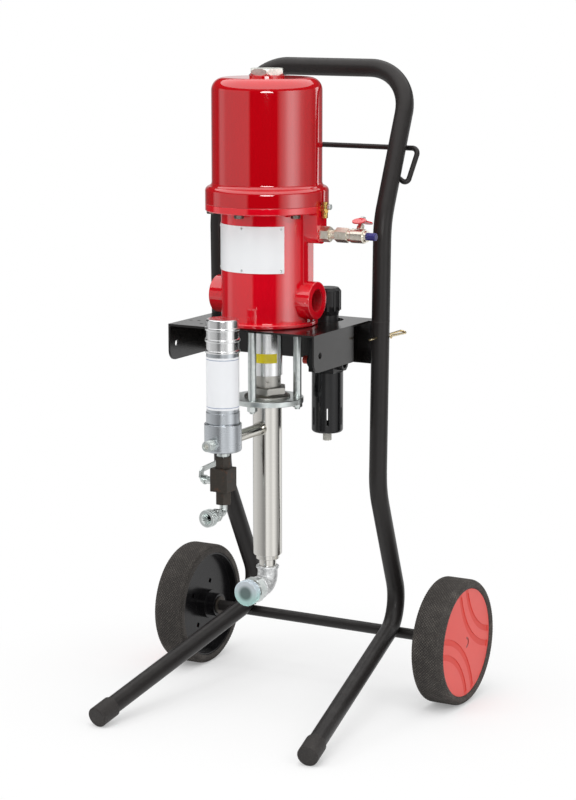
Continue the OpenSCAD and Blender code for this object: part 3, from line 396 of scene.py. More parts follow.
@dataclass(frozen=True)
class Phosphated(Finish):
    """Blackened steel that browns where it was handled."""

    rust: Colour = (0.16, 0.05, 0.015)
    rust_share: float = 0.35

    def tint(self, graph: Graph) -> Wire:
        """Brown patches over a mottled black.

        Args:
            graph: The material's graph.

        Returns:
            The colour.
        """
        base = graph.blend(graph.noise(0.006, 4.0), rgba(self.colour, 0.8), rgba(self.colour, 1.3))
        patches = graph.noise(0.010, 5.0).span(0.55, 0.75)
        return graph.blend(patches * self.rust_share, base, rgba(self.rust))


@dataclass(frozen=True)
class Rubber(Finish):
    """Moulded rubber with a dry bloom, and painted shade down in its hollows where groove is above 0."""

    bloom: Colour = (0.12, 0.105, 0.085)
    # Share of painted shade in the tread's cuts, found by the mesh's pointiness.
    groove: float = 0.0

    def tint(self, graph: Graph) -> Wire:
        """A brown-grey bloom in soft patches and fine specks, and painted shade down in the tread's cuts, where the
        colour drops to 0.3 of the rubber's own.

        Args:
            graph: The material's graph.

        Returns:
            The colour.
        """
        patches = graph.noise(0.025, 4.0).span(0.40, 0.75) * 0.22
        specks = graph.noise(0.0024, 3.0).span(0.50, 0.72) * 0.55
        # Painted shade: darker where the surface is hollow, down in the tread's cuts.
        groove_shade = graph.node("ShaderNodeNewGeometry", output="Pointiness").span(0.515, 0.47) * self.groove
        bloomed = graph.blend(patches + specks, rgba(self.colour), rgba(self.bloom))
        return graph.blend(groove_shade, bloomed, rgba(self.colour, 0.3))


@dataclass(frozen=True)
class BandedCap(Finish):
    """Wheel cap moulding, duller in its sunk curved bands, with painted shade darkening those bands and a painted
    shaded crescent on one side of its middle.
    """

    centre: tuple[float, float] = (128.5 * MM, 133.1 * MM)
    radii: tuple[float, float] = (161 * MM, 131 * MM)
    half_width: float = 6 * MM
    # Radius and half-width of the painted shaded crescent, drawn on the rear side of the middle only.
    shaded_crescent: tuple[float, float] = (9.2 * MM, 2.3 * MM)

    def spot(self, graph: Graph) -> tuple[Wire, Wire]:
        """Where a point is in the wheel's plane, from its middle."""
        _, y, z = graph.axes()
        return y - AXLE_Y, z - WHEEL_RADIUS

    def bands(self, graph: Graph) -> Wire:
        """1 in the bands, else 0.

        Args:
            graph: The material's graph.

        Returns:
            The mask.
        """
        y, z = self.spot(graph)
        upper = ((y - self.centre[0]) ** 2 + (z - self.centre[1]) ** 2) ** 0.5
        lower = ((y + self.centre[0]) ** 2 + (z + self.centre[1]) ** 2) ** 0.5
        reach = upper.maths("MINIMUM", upper, lower)
        return reach.near(self.radii[0], self.half_width) + reach.near(self.radii[1], self.half_width)

    def tint(self, graph: Graph) -> Wire:
        """Painted shade: a little darker in the sunk bands, and dark in a crescent on the rear side of the middle.

        Args:
            graph: The material's graph.

        Returns:
            The colour.
        """
        y, z = self.spot(graph)
        # Painted shade: a dark crescent on the rear side of the middle, and the sunk bands darkened.
        shaded_crescent = ((y * y + z * z) ** 0.5).near(*self.shaded_crescent) * (y > 0.0)
        band_shaded = graph.blend(self.bands(graph), super().tint(graph), rgba(self.colour, 0.93))
        return graph.blend(shaded_crescent * 0.8, band_shaded, rgba(self.colour, 0.25))

    def gloss(self, graph: Graph) -> Wire:
        """Duller in the bands."""
        return super().gloss(graph) + self.bands(graph) * 0.25


@dataclass(frozen=True)
class ClearCap(Finish):
    """A clear moulding, painted dark over its end where the shaded bore lies behind it, and painted lighter and bluer
    higher up.
    """

    # The lighter blue of the painted light higher up, and the dark of the painted shade over the bore.
    top: Colour = (0.86, 0.94, 1.0)
    painted_bore_shade: Colour = (0.09, 0.14, 0.13)
    bore: float = 18 * MM

    def tint(self, graph: Graph) -> Wire:
        """Painted light, from teal to a lighter blue from the bottom up, and painted shade, darker over the bore.

        Args:
            graph: The material's graph.

        Returns:
            The colour.
        """
        x, _, z = graph.axes()
        rise = z - SUCTION_HEIGHT
        away = (x * x + rise * rise) ** 0.5
        # Painted shade: darker over the middle of the end, where the shaded bore lies behind it.
        bore_shade_share = 1.0 - away.span(0.5 * self.bore, self.bore)
        # Painted light: lighter and bluer from the bottom of the end upwards.
        rim = graph.blend(rise.span(-self.bore, self.bore), super().tint(graph), rgba(self.top))
        return graph.blend(bore_shade_share * 0.85, rim, rgba(self.painted_bore_shade))


@dataclass(frozen=True)
class Printed(Finish):
    """A blank printed sleeve or plate with a thin rule near its upper and lower edges."""

    rule: Colour = (0.10, 0.16, 0.34)
    rule_heights: tuple[float, ...] = ()
    rule_half_width: float = 0.5 * MM

    def tint(self, graph: Graph) -> Wire:
        """Thin rules on the ground colour.

        Args:
            graph: The material's graph.

        Returns:
            The colour.
        """
        colour = super().tint(graph)
        height = graph.axes()[2]
        for level in self.rule_heights:
            line = height.near(level, self.rule_half_width)
            colour = graph.blend(line, colour, rgba(self.rule))
        return colour


class Finishes:
    """The finishes of this sprayer."""

    FRAME = PowderCoat(
        "black_powder_coat", (0.0155, 0.0135, 0.013), 0.40, drift=0.12, relief_depth=0.05 * MM,
        fixed=(("Specular IOR Level", 0.32),),
    )
    BRACKET = PowderCoat(
        "black_gloss_coat", (0.0065, 0.0055, 0.005), 0.17, drift=0.12, relief_depth=0.03 * MM,
        edge=0.8 * MM, fixed=(("Specular IOR Level", 0.42),),
    )
    RED = CastEnamel(
        "red_enamel", (0.50, 0.0015, 0.006), 0.34, coat=1.0, drift=0.04, relief_depth=0.05 * MM, waves=0.12,
        edge=1.0 * MM, fixed=(("Specular IOR Level", 0.0), ("Coat IOR", 1.9)),
    )
    # The same red enamel as on the bell, its colour lightened by about two fifths to make up for the shade under the
    # bell: painted light.
    RED_CAST_LIGHTENED = CastEnamel(
        "red_enamel_on_casting", (0.72, 0.003, 0.014), 0.36, coat=1.0, drift=0.05, relief_depth=0.30 * MM,
        edge=2.6 * MM, fixed=(("Specular IOR Level", 0.0), ("Coat IOR", 1.9)),
    )
    RED_BORE = Finish("red_enamel_in_bore", (0.46, 0.002, 0.008), 0.45, fixed=(("Specular IOR Level", 0.2),))
    ZINC = Plated(
        "bright_zinc", (0.68, 0.715, 0.70), 0.30, 1.0, relief_depth=0.002 * MM, second=(0.58, 0.63, 0.62),
        edge=0.5 * MM,
    )
    DULL_ZINC = Plated("dull_zinc", (0.16, 0.145, 0.13), 0.42, 1.0, second=(0.10, 0.09, 0.08), edge=0.6 * MM)
    SATIN_ZINC = Plated("satin_zinc", (0.86, 0.86, 0.80), 0.38, 1.0, second=(0.66, 0.66, 0.61), edge=0.8 * MM)
    NICKEL = Plated(
        "satin_nickel", (0.86, 0.81, 0.71), 0.28, 1.0, relief_depth=0.004 * MM, second=(0.72, 0.66, 0.56),
        edge=0.5 * MM,
    )
    GOLD = Plated("yellow_zinc", (0.70, 0.52, 0.24), 0.26, 1.0, second=(0.62, 0.58, 0.44), cloud_size=0.004)
    BRASS = Plated("bare_brass", (0.66, 0.46, 0.14), 0.28, 1.0, second=(0.52, 0.34, 0.11), edge=0.5 * MM)
    STEEL = Turned("ground_stainless", (0.65, 0.635, 0.60), 0.15, 1.0, gloss_drift=0.10, relief_depth=0.005 * MM)
    STEEL_Y = Turned(
        "ground_stainless_y", (0.58, 0.565, 0.52), 0.18, 1.0, gloss_drift=0.12, relief_depth=0.006 * MM,
        axis=Axis.Y,
    )
    CAST_STEEL = Turned("blasted_stainless", (0.46, 0.45, 0.42), 0.42, 1.0, relief_depth=0.02 * MM, edge=0.8 * MM)
    ALUMINIUM = Turned("turned_aluminium", (0.83, 0.835, 0.84), 0.21, 1.0, gloss_drift=0.05, relief_depth=0.006 * MM)
    FILTER_STEEL = Turned(
        "machined_zinc_base", (0.52, 0.55, 0.58), 0.28, 1.0, gloss_drift=0.08, relief_depth=0.004 * MM, edge=0.8 * MM,
    )
    GALVANISED = Galvanised("hot_dip_zinc", (0.78, 0.79, 0.79), 0.38, 1.0, relief_depth=0.10 * MM)
    BLACKENED = Phosphated(
        "blackened_steel", (0.040, 0.033, 0.026), 0.50, 0.35, relief_depth=0.03 * MM, edge=0.6 * MM,
    )
    # The tyre's tread cuts are darkened through groove: painted shade.
    TYRE = Rubber(
        "tyre_rubber", (0.054, 0.048, 0.044), 0.80, bloom=(0.20, 0.18, 0.16), relief_depth=0.06 * MM,
        relief_size=0.9 * MM, groove=0.75, fixed=(("Specular IOR Level", 0.35),),
    )
    RUBBER = Rubber(
        "foot_rubber", (0.026, 0.023, 0.022), 0.60, bloom=(0.06, 0.055, 0.05), relief_depth=0.03 * MM,
        fixed=(("Specular IOR Level", 0.35),),
    )
    RIM = Finish(
        "black_rim_moulding", (0.0075, 0.007, 0.008), 0.24, drift=0.12, relief_depth=0.03 * MM, edge=0.8 * MM,
        fixed=(("Specular IOR Level", 0.26),),
    )
    NYLON = Finish(
        "black_nylon", (0.012, 0.0115, 0.0125), 0.36, drift=0.12, relief_depth=0.03 * MM,
        fixed=(("Specular IOR Level", 0.38),),
    )
    BOWL = Finish(
        "black_bowl_plastic", (0.0085, 0.0085, 0.0095), 0.15, drift=0.10, relief_depth=0.006 * MM,
        relief_size=3 * MM, fixed=(("Specular IOR Level", 0.38),),
    )
    # Painted shade in the cap's sunk bands and in a crescent at its middle.
    WHEEL_CAP = BandedCap("red_wheel_moulding", (0.82, 0.062, 0.044), 0.34, drift=0.05, relief_depth=0.03 * MM)
    RED_PLASTIC = Finish("red_moulding", (0.64, 0.060, 0.040), 0.38, drift=0.05, relief_depth=0.03 * MM)
    VINYL = Finish(
        "red_dipped_vinyl", (0.60, 0.010, 0.018), 0.22, coat=0.4, drift=0.05, relief_size=4 * MM,
        relief_depth=0.10 * MM,
    )
    NAVY = Finish("navy_moulding", (0.020, 0.016, 0.14), 0.32)
    WHITE_PLASTIC = Finish("off_white_moulding", (0.52, 0.51, 0.46), 0.40)
    PTFE = Finish("packing_white", (0.80, 0.80, 0.76), 0.35)
    # The clear cap has painted shade over its bore and painted light higher up.
    TEAL = ClearCap(
        "clear_teal_moulding", (0.64, 0.97, 0.92), 0.22, drift=0.04, relief_depth=0.01 * MM,
        fixed=(("Transmission Weight", 0.40), ("IOR", 1.40)),
    )
    PLATE = Printed("white_enamel_plate", (0.92, 0.935, 0.95), 0.24, drift=0.02, relief_depth=0.004 * MM)
    SLEEVE = Printed(
        "white_sleeve", (0.90, 0.915, 0.94), 0.30, drift=0.02, relief_depth=0.006 * MM,
        rule_heights=(0.6345, 0.7235),
    )
    YELLOW_TAG = Printed("yellow_tag", (0.98, 0.80, 0.012), 0.34, drift=0.03, relief_depth=0.006 * MM)


# ---------------------------------------------------------------- mesh making
@dataclass
class Mesh:
    """Vertices and faces of a new piece, in metres."""

    points: list[np.ndarray] = field(default_factory=list)
    faces: list[np.ndarray] = field(default_factory=list)
    count: int = 0

    def add(self, shape: Shape, matrix: np.ndarray) -> None:
        """Adds one closed shape, with its quads turned to face out.

        Args:
            shape: Its vertices and quads.
            matrix: The 4x4 matrix that places it.
        """
        points, faces = shape
        a, b, c, d = (points[faces[:, k]] for k in range(4))
        if np.sum(a * (np.cross(b, c) + np.cross(c, d))) < 0.0:
            faces = faces[:, ::-1]
        self.points.append(points @ matrix[:3, :3].T + matrix[:3, 3])
        self.faces.append(faces + self.count)
        self.count += len(points)

    def piece(self, name: str, finish: Finish, body: str, smooth: bool = True) -> bpy.types.Object:
        """Makes the Blender object and lets it ride.

        Args:
            name: Name of the piece.
            finish: Its finish.
            body: The body that it moves with.
            smooth: Whether its faces shade smoothly.

        Returns:
            The object.
        """
        data = bpy.data.meshes.new(name)
        quads = [tuple(q) for part in self.faces for q in part.tolist()]
        data.from_pydata(np.concatenate(self.points).tolist(), [], quads)
        data.polygons.foreach_set("use_smooth", [smooth] * len(data.polygons))
        data.update()
        made = bpy.data.objects.new(name, data)
        bpy.context.scene.collection.objects.link(made)
        data.materials.append(finish.material())
        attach(made, body)
        LOG.info("%s: %d faces on %s", name, len(quads), body)
        return made


def grid_faces(rows: int, columns: int, wrap_rows: bool, wrap_columns: bool) -> np.ndarray:
    """Quads of a grid of points stored row by row.

    Args:
        rows: Number of rows.
        columns: Number of points in a row.
        wrap_rows: Whether the last row joins the first.
        wrap_columns: Whether a row's last point joins its first.

    Returns:
        The quads.
    """
    i, j = np.meshgrid(np.arange(rows if wrap_rows else rows - 1),
                       np.arange(columns if wrap_columns else columns - 1), indexing="ij")
    i, j = i.ravel(), j.ravel()
    i2, j2 = (i + 1) % rows, (j + 1) % columns
    return np.stack([i * columns + j, i2 * columns + j, i2 * columns + j2, i * columns + j2], 1)


class Way(Enum):
    """Where a fitting points, as seen from in front of the cart."""

    RIGHT = (1.0, 0.0, 0.0)
    FRONT = (0.0, -1.0, 0.0)


def at(origin: Point, direction: Vector | None = None) -> np.ndarray:
    """A 4x4 matrix that places a shape.

    Args:
        origin: Where its origin goes, in metres.
        direction: Where its Z axis points, if it is turned.

    Returns:
        The matrix.
    """
    move = Matrix.Translation(origin)
    if direction is None:
        return np.array(move)
    return np.array(move @ direction.to_track_quat("Z", "Y").to_matrix().to_4x4())


def lathe(outline: np.ndarray, steps: int, arc: tuple[float, float] = (0.0, 2 * math.pi)) -> Shape:
    """Turns a closed outline about Z.

    Args:
        outline: Rows of radius and height, in order round the section.
        steps: Steps about the axis.
        arc: First and last angle in radians; a full turn closes on itself.

    Returns:
        Vertices and quads. An open arc is closed by collapsed end rings.
    """
    full = abs(arc[1] - arc[0] - 2 * math.pi) < 1e-6
    angles = np.linspace(*arc, steps, endpoint=not full)
    radius, height = outline[:, 0], outline[:, 1]
    ring = np.stack([np.outer(np.cos(angles), radius), np.outer(np.sin(angles), radius),
                     np.tile(height, (steps, 1))], 2)
    if not full:
        ring = collapse_ends(ring)
    return ring.reshape(-1, 3), grid_faces(len(ring), len(outline), full, True)


def collapse_ends(rows: np.ndarray) -> np.ndarray:
    """Rows of points with one more row at each end, drawn together to close the end."""
    caps = np.repeat(rows[[0, -1]].mean(1, keepdims=True), rows.shape[1], 1)
    return np.concatenate([caps[:1], rows, caps[1:]])


def ring_section(inner: float, thickness: float, heights: tuple[float, float]) -> np.ndarray:
    """Square section of a ring.

    Args:
        inner: Its inner radius.
        thickness: Its wall.
        heights: Its lower and upper height.

    Returns:
        Rows of radius and height.
    """
    low, high = heights
    outer = inner + thickness
    return np.array([[inner, low], [outer, low], [outer, high], [inner, high]])


@dataclass(frozen=True)
class Thread:
    """A helical ridge along Z on a shank, or in a bore where it is an inner one."""

    radius: float
    low: float
    high: float
    pitch: float
    depth: float
    inner: bool = False
    root: float = 0.15 * MM
    steps_per_turn: int = 40

    def shape(self) -> Shape:
        """The ridge, faded out at both ends.

        Returns:
            Vertices and quads.
        """
        turns = (self.high - self.low - 0.9 * self.pitch) / self.pitch
        steps = max(int(turns * self.steps_per_turn), 8)
        share = np.linspace(0.0, 1.0, steps)
        fade = np.clip(np.minimum(share, 1.0 - share) * turns * 4, 0.02, 1.0)
        out = -1.0 if self.inner else 1.0
        angle = share * turns * 2 * math.pi
        rows = []
        for rise, along in ((-self.root, -0.45), (self.depth, -0.10), (self.depth, 0.10), (-self.root, 0.45)):
            r = self.radius + out * (rise * fade if rise > 0 else np.full(steps, rise))
            z = self.low + 0.45 * self.pitch + share * turns * self.pitch + along * self.pitch * fade
            rows.append(np.stack([r * np.cos(angle), r * np.sin(angle), z], 1))
        points = collapse_ends(np.stack(rows, 1))
        return points.reshape(-1, 3), grid_faces(len(points), len(rows), False, True)


@dataclass(frozen=True)
class Label:
    """A thin label wrapped round an upright cylinder."""

    radius: float
    heights: tuple[float, float]
    thickness: float
    degrees: tuple[float, float]
    steps: int

    def shape(self) -> Shape:
        """The label's vertices and quads."""
        section = ring_section(self.radius, self.thickness, self.heights)
        return lathe(section, self.steps, (math.radians(self.degrees[0]), math.radians(self.degrees[1])))


def dome(radius: float, height: float) -> np.ndarray:
    """Section of a low dome on a short rim.

    Args:
        radius: Radius of the rim.
        height: Height of the dome over the rim.

    Returns:
        Rows of radius and height, from the axis outwards.
    """
    steps = np.linspace(0.0, math.pi / 2, 7)
    arc = np.stack([radius * np.sin(steps), height * np.cos(steps)], 1)
    arc[0, 0] = 1e-6
    return np.concatenate([arc, [[radius, -RIVET_SHANK], [1e-6, -RIVET_SHANK]]])


# ---------------------------------------------------------------- sub-assemblies
Surfaces = dict[Finish, tuple[str, ...]]


@dataclass
class Assembly:
    """A group of pieces that are dressed and detailed together."""

    SURFACES: ClassVar[Surfaces] = {}
    body: str = "frame"

    @property
    def suffix(self) -> str:
        """Ending of the names of its pieces."""
        return ""

    def dress(self) -> None:
        """Gives the frame's own pieces their materials."""
        for finish, names in self.SURFACES.items():
            for name in names:
                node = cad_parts[name + self.suffix]
                node.data.materials.clear()
                node.data.materials.append(finish.material())
                LOG.info("%s: %s", node.name, finish.name)

    def build(self) -> None:
        """Makes the assembly's own small pieces."""


class Side(Enum):
    """Side of the cart, as the sign of X."""

    LEFT = -1.0
    RIGHT = 1.0


@dataclass
class Wheel(Assembly):
    """A solid tyre with a diamond tread on a plastic rim with a red cap."""

    SURFACES: ClassVar[Surfaces] = {
        Finishes.RIM: ("rim",),
        Finishes.WHEEL_CAP: ("wheel_cap",),
        Finishes.TYRE: ("tyre",),
    }

    side: Side = Side.RIGHT
    radius: float = WHEEL_RADIUS
    rim_radius: float = 108 * MM
    inner_x: float = 261.6 * MM
    outer_x: float = 329.6 * MM
    outer_edge: float = 14 * MM
    inner_edge: float = 9 * MM
    lip: float = 5 * MM
    lip_angle: float = 0.335
    pitches_round: int = 130
    samples_per_pitch: int = 8
    tread_depth: float = 0.9 * MM
    tread_fade: tuple[float, float] = (6 * MM, 5 * MM)
    groove_top: float = 1.5
    groove_slope: float = 7.0

    @property
    def label(self) -> str:
        """left or right."""
        return self.side.name.lower()

    @property
    def suffix(self) -> str:
        """Ending of the names of this wheel's pieces."""
        return f"_{self.label}"

    def section(self) -> tuple[np.ndarray, np.ndarray, np.ndarray]:
        """Section of the tyre.

        Returns:
            Points of radius and x, outward normals, and the arc length across the tread or NaN.
        """
        quarter = np.linspace(0.0, math.pi / 2, 15)
        low, high, edge_in, edge_out = self.inner_x, self.outer_x, self.inner_edge, self.outer_edge
        rows = [[r, low, 0, -1, np.nan] for r in np.linspace(self.rim_radius, self.radius - edge_in, 4)[:-1]]
        for a in quarter:
            rows.append([self.radius - edge_in * (1 - math.sin(a)), low + edge_in * (1 - math.cos(a)),
                         math.sin(a), -math.cos(a), low + edge_in * (1 - math.pi / 2 + a)])
        rows += [[self.radius, x, 1, 0, x] for x in np.linspace(low + edge_in, high - edge_out, 60)[1:-1]]
        for a in np.linspace(math.pi / 2, self.lip_angle, 13):
            rows.append([self.radius - edge_out * (1 - math.sin(a)), high - edge_out * (1 - math.cos(a)),
                         math.sin(a), math.cos(a), high - edge_out * (1 - math.pi / 2 + a)])
        rows += [[self.rim_radius, high - self.lip, -1, 0, np.nan]]
        rows += [[self.rim_radius, x, -1, 0, np.nan] for x in np.linspace(high - self.lip, low, 5)[1:-1]]
        table = np.array(rows)
        return table[:, :2], table[:, 2:4], table[:, 4]

    def build(self) -> None:
        """Makes the tyre with its tread cut in."""
        points, normals, across = self.section()
        steps = self.pitches_round * self.samples_per_pitch
        turn = np.arange(steps) / self.samples_per_pitch
        pitch = 2 * math.pi * self.radius / self.pitches_round
        on_tread = ~np.isnan(across)
        u = np.where(on_tread, across, 0.0) / pitch
        margin = np.minimum(across - self.inner_x, self.outer_x - across) + self.tread_fade[0]
        weight = np.where(on_tread, np.clip(np.nan_to_num(margin) / self.tread_fade[1], 0, 1), 0)

        def groove(phase: np.ndarray) -> np.ndarray:
            """1 at the bottom of a groove and 0 on the lands."""
            return np.clip(self.groove_top - self.groove_slope * np.abs((phase % 1.0) - 0.5), 0.0, 1.0)

        cut = np.maximum(groove(turn[:, None] + u[None, :]), groove(turn[:, None] - u[None, :]))
        depth = cut * weight[None, :] * self.tread_depth
        radius = points[None, :, 0] - depth * normals[None, :, 0]
        x = points[None, :, 1] - depth * normals[None, :, 1]
        angle = (turn / self.pitches_round * 2 * math.pi)[:, None]
        grid = np.stack([x * self.side.value, radius * np.cos(angle) + AXLE_Y,
                         radius * np.sin(angle) + self.radius], 2)
        mesh = Mesh()
        mesh.add((grid.reshape(-1, 3), grid_faces(steps, len(points), True, True)), np.eye(4))
        tyre = mesh.piece(f"treaded_tyre_{self.label}", Finishes.TYRE, f"wheel_{self.label}")
        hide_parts(f"tyre_{self.label}")


@dataclass(frozen=True)
class Weld:
    """Two runs of weld in the grooves where a rod lies across a tube, rod along X."""

    contacts: tuple[Point, ...]
    out: Point
    along: Point
    rod_radius: float
    bead: float
    half_run: float
    tube_radius: float = 17.5 * MM
    proud: float = 0.7
    lumps: int = 9

    def add_to(self, mesh: Mesh) -> None:
        """Adds the overlapping lumps of each contact to a mesh.

        Args:
            mesh: The mesh that takes them.
        """
        turn = np.linspace(0.0, math.pi, 9)
        ball = lathe(np.stack([np.maximum(np.sin(turn), 1e-3), np.cos(turn)], 1) * self.bead, 12)
        across = 2 * math.sqrt(self.rod_radius * self.bead)
        for contact in self.contacts:
            for x in np.linspace(-self.half_run, self.half_run, self.lumps):
                sink = self.tube_radius - math.sqrt(self.tube_radius ** 2 - x * x)
                middle = np.array(contact) + np.array(self.out) * (self.bead * self.proud - sink) + [x, 0.0, 0.0]
                for side in (-across, across):
                    mesh.add(ball, at(middle + np.array(self.along) * side))


@dataclass
class Cart(Assembly):
    """The tubular cart with its bracket, axle, hook, feet and pins."""

    SURFACES: ClassVar[Surfaces] = {
        Finishes.FRAME: ("leg_left", "leg_right", "handle", "hose_hook", "axle"),
        Finishes.BRACKET: ("bracket",),
        Finishes.RUBBER: ("foot_caps",),
        Finishes.BLACKENED: ("axle_retainers",),
        Finishes.GOLD: ("handle_pin_left", "handle_pin_right"),
    }

    welds: tuple[Weld, ...] = (
        Weld(((-0.1655, 0.1742, 0.1336), (0.1655, 0.1742, 0.1336)), (0.0, 0.622, -0.783), (0.0, 0.783, 0.622),
             rod_radius=11 * MM, bead=2.4 * MM, half_run=8 * MM),
        Weld(((-0.1809, 0.1625, 1.0960), (0.1809, 0.1625, 1.0960)), (0.0, 0.9176, -0.3975), (0.0, 0.3975, 0.9176),
             rod_radius=5 * MM, bead=1.6 * MM, half_run=6 * MM),
    )
    # The ring at the foot of each handle tube: a slight real lip, in dull dark rubber so that it shows the dark line
    # of the gap, which is painted shade.
    seam_shade_spots: tuple[Point, ...] = ((-0.17875, 0.08393, 0.7684), (0.17875, 0.08393, 0.7684))
    seam_radius: float = 17.0 * MM
    seam_size: float = 0.6 * MM

    def build(self) -> None:
        """Makes the welds of axle and hook, and the ring at the foot of each handle tube, a slight real lip in dull
        rubber that shows as a dark line: painted shade of the gap there.
        """
        beads = Mesh()
        for weld in self.welds:
            weld.add_to(beads)
        beads.piece("weld_beads", Finishes.FRAME, self.body)
        rings = Mesh()
        ring = lathe(ring_section(self.seam_radius, self.seam_size, (-self.seam_size, self.seam_size)), 64)
        for spot in self.seam_shade_spots:
            rings.add(ring, at(spot))
        # Dull dark rubber, so the ring reads as the shaded gap: painted shade.
        rings.piece("handle_seam_shade_rings", Finishes.RUBBER, self.body)


@dataclass
class AirMotor(Assembly):
    """The air cylinder, its base and the small parts on them."""

    SURFACES: ClassVar[Surfaces] = {
        Finishes.RED: ("motor_bell",),
        Finishes.RED_CAST_LIGHTENED: ("motor_body",),
        Finishes.SATIN_ZINC: ("top_plug",),
        Finishes.ZINC: ("relief_knob",),
        Finishes.DULL_ZINC: ("motor_bolts",),
        Finishes.BRASS: ("relief_valve",),
        Finishes.PLATE: ("nameplate",),
        Finishes.ALUMINIUM: ("air_piston",),
        Finishes.RUBBER: ("piston_seal",),
        Finishes.STEEL: ("piston_rod", "valve_spool"),
    }

    plate_radius: float = 88.2 * MM
    plate_angles: tuple[float, ...] = (-146.0, -93.0, -43.0)
    plate_heights: tuple[float, float] = (878 * MM, 956 * MM)
    rivet: tuple[float, float] = (2.4 * MM, 1.1 * MM)
    exhaust_face: Point = (109 * MM, PUMP_Y, 818 * MM)
    exhaust: Thread = Thread(22 * MM, -23 * MM, -1.5 * MM, pitch=2.3 * MM, depth=0.9 * MM, inner=True)
    liner: float = 0.25 * MM
    liner_heights: tuple[float, float] = (-23 * MM, -1.2 * MM)

    def build(self) -> None:
        """Makes the plate's rivets and the thread of the exhaust port."""
        rivets = Mesh()
        for degrees in self.plate_angles:
            a = math.radians(degrees)
            out = Vector((math.cos(a), math.sin(a), 0.0))
            for height in self.plate_heights:
                spot = out * self.plate_radius + Vector((0.0, PUMP_Y, height))
                rivets.add(lathe(dome(*self.rivet), 20), at(spot, out))
        rivets.piece("nameplate_rivets", Finishes.ZINC, self.body)
        port = Mesh()
        place = at(self.exhaust_face, Vector(Way.RIGHT.value))
        port.add(self.exhaust.shape(), place)
        port.add(lathe(ring_section(self.exhaust.radius - self.liner, self.liner, self.liner_heights), 64), place)
        port.piece("exhaust_thread", Finishes.RED_BORE, self.body)


@dataclass
class AirInlet(Assembly):
    """The inlet nipple, ball valve with its butterfly handle, and the end plug."""

    SURFACES: ClassVar[Surfaces] = {
        Finishes.NICKEL: ("inlet_fittings", "air_valve_body"),
        Finishes.ZINC: ("air_valve_stem",),
        Finishes.VINYL: ("air_valve_handle",),
        Finishes.NAVY: ("inlet_plug",),
    }

    valve_axis: Point = (0.0, PUMP_Y, 945 * MM)
    neck: Thread = Thread(8.5 * MM, 137.2 * MM, 149.8 * MM, pitch=1.8 * MM, depth=0.7 * MM)

    def build(self) -> None:
        """Makes the thread of the nipple between its hexagons."""
        nipple = Mesh()
        nipple.add(self.neck.shape(), at(self.valve_axis, Vector(Way.RIGHT.value)))
        nipple.piece("inlet_nipple_thread", Finishes.NICKEL, self.body)


@dataclass
class Pump(Assembly):
    """The piston pump under the bracket, down to its suction elbow."""

    SURFACES: ClassVar[Surfaces] = {
        Finishes.STEEL: ("pump_barrel", "foot_valve_seat", "foot_valve_ball", "pump_piston"),
        Finishes.CAST_STEEL: ("clamp_nut", "gland_nut"),
        Finishes.ZINC: ("tie_rods", "tie_rod_nuts", "pump_flange", "suction_nipple"),
        Finishes.ALUMINIUM: ("oil_cup",),
        Finishes.PTFE: ("packing",),
        Finishes.GALVANISED: ("suction_elbow",),
        Finishes.TEAL: ("suction_cap",),
        Finishes.STEEL_Y: ("branch_tube",),
    }

    tag: Label = Label(29.08 * MM, (694 * MM, 712 * MM), 0.12 * MM, degrees=(-135, -21), steps=40)
    rod_circle: float = 57.5 * MM
    rod_angles: tuple[float, ...] = (30.0, 150.0, 270.0)
    rod_end: Thread = Thread(5 * MM, 601.5 * MM, 604.9 * MM, pitch=1.25 * MM, depth=0.4 * MM)
    nipple_neck: Thread = Thread(16.6 * MM, 50.2 * MM, 57 * MM, pitch=2.3 * MM, depth=0.9 * MM)

    def build(self) -> None:
        """Makes the blank oil tag and the threads that show."""
        tag = Mesh()
        tag.add(self.tag.shape(), at((0.0, PUMP_Y, 0.0)))
        tag.piece("oil_cup_tag", Finishes.YELLOW_TAG, self.body, smooth=False)
        rods = Mesh()
        for a in map(math.radians, self.rod_angles):
            spot = (self.rod_circle * math.cos(a), PUMP_Y + self.rod_circle * math.sin(a), 0.0)
            rods.add(self.rod_end.shape(), at(spot))
        rods.piece("tie_rod_threads", Finishes.ZINC, self.body)
        neck = Mesh()
        neck.add(self.nipple_neck.shape(), at((0.0, PUMP_Y, SUCTION_HEIGHT), Vector(Way.FRONT.value)))
        neck.piece("suction_nipple_thread", Finishes.ZINC, self.body)


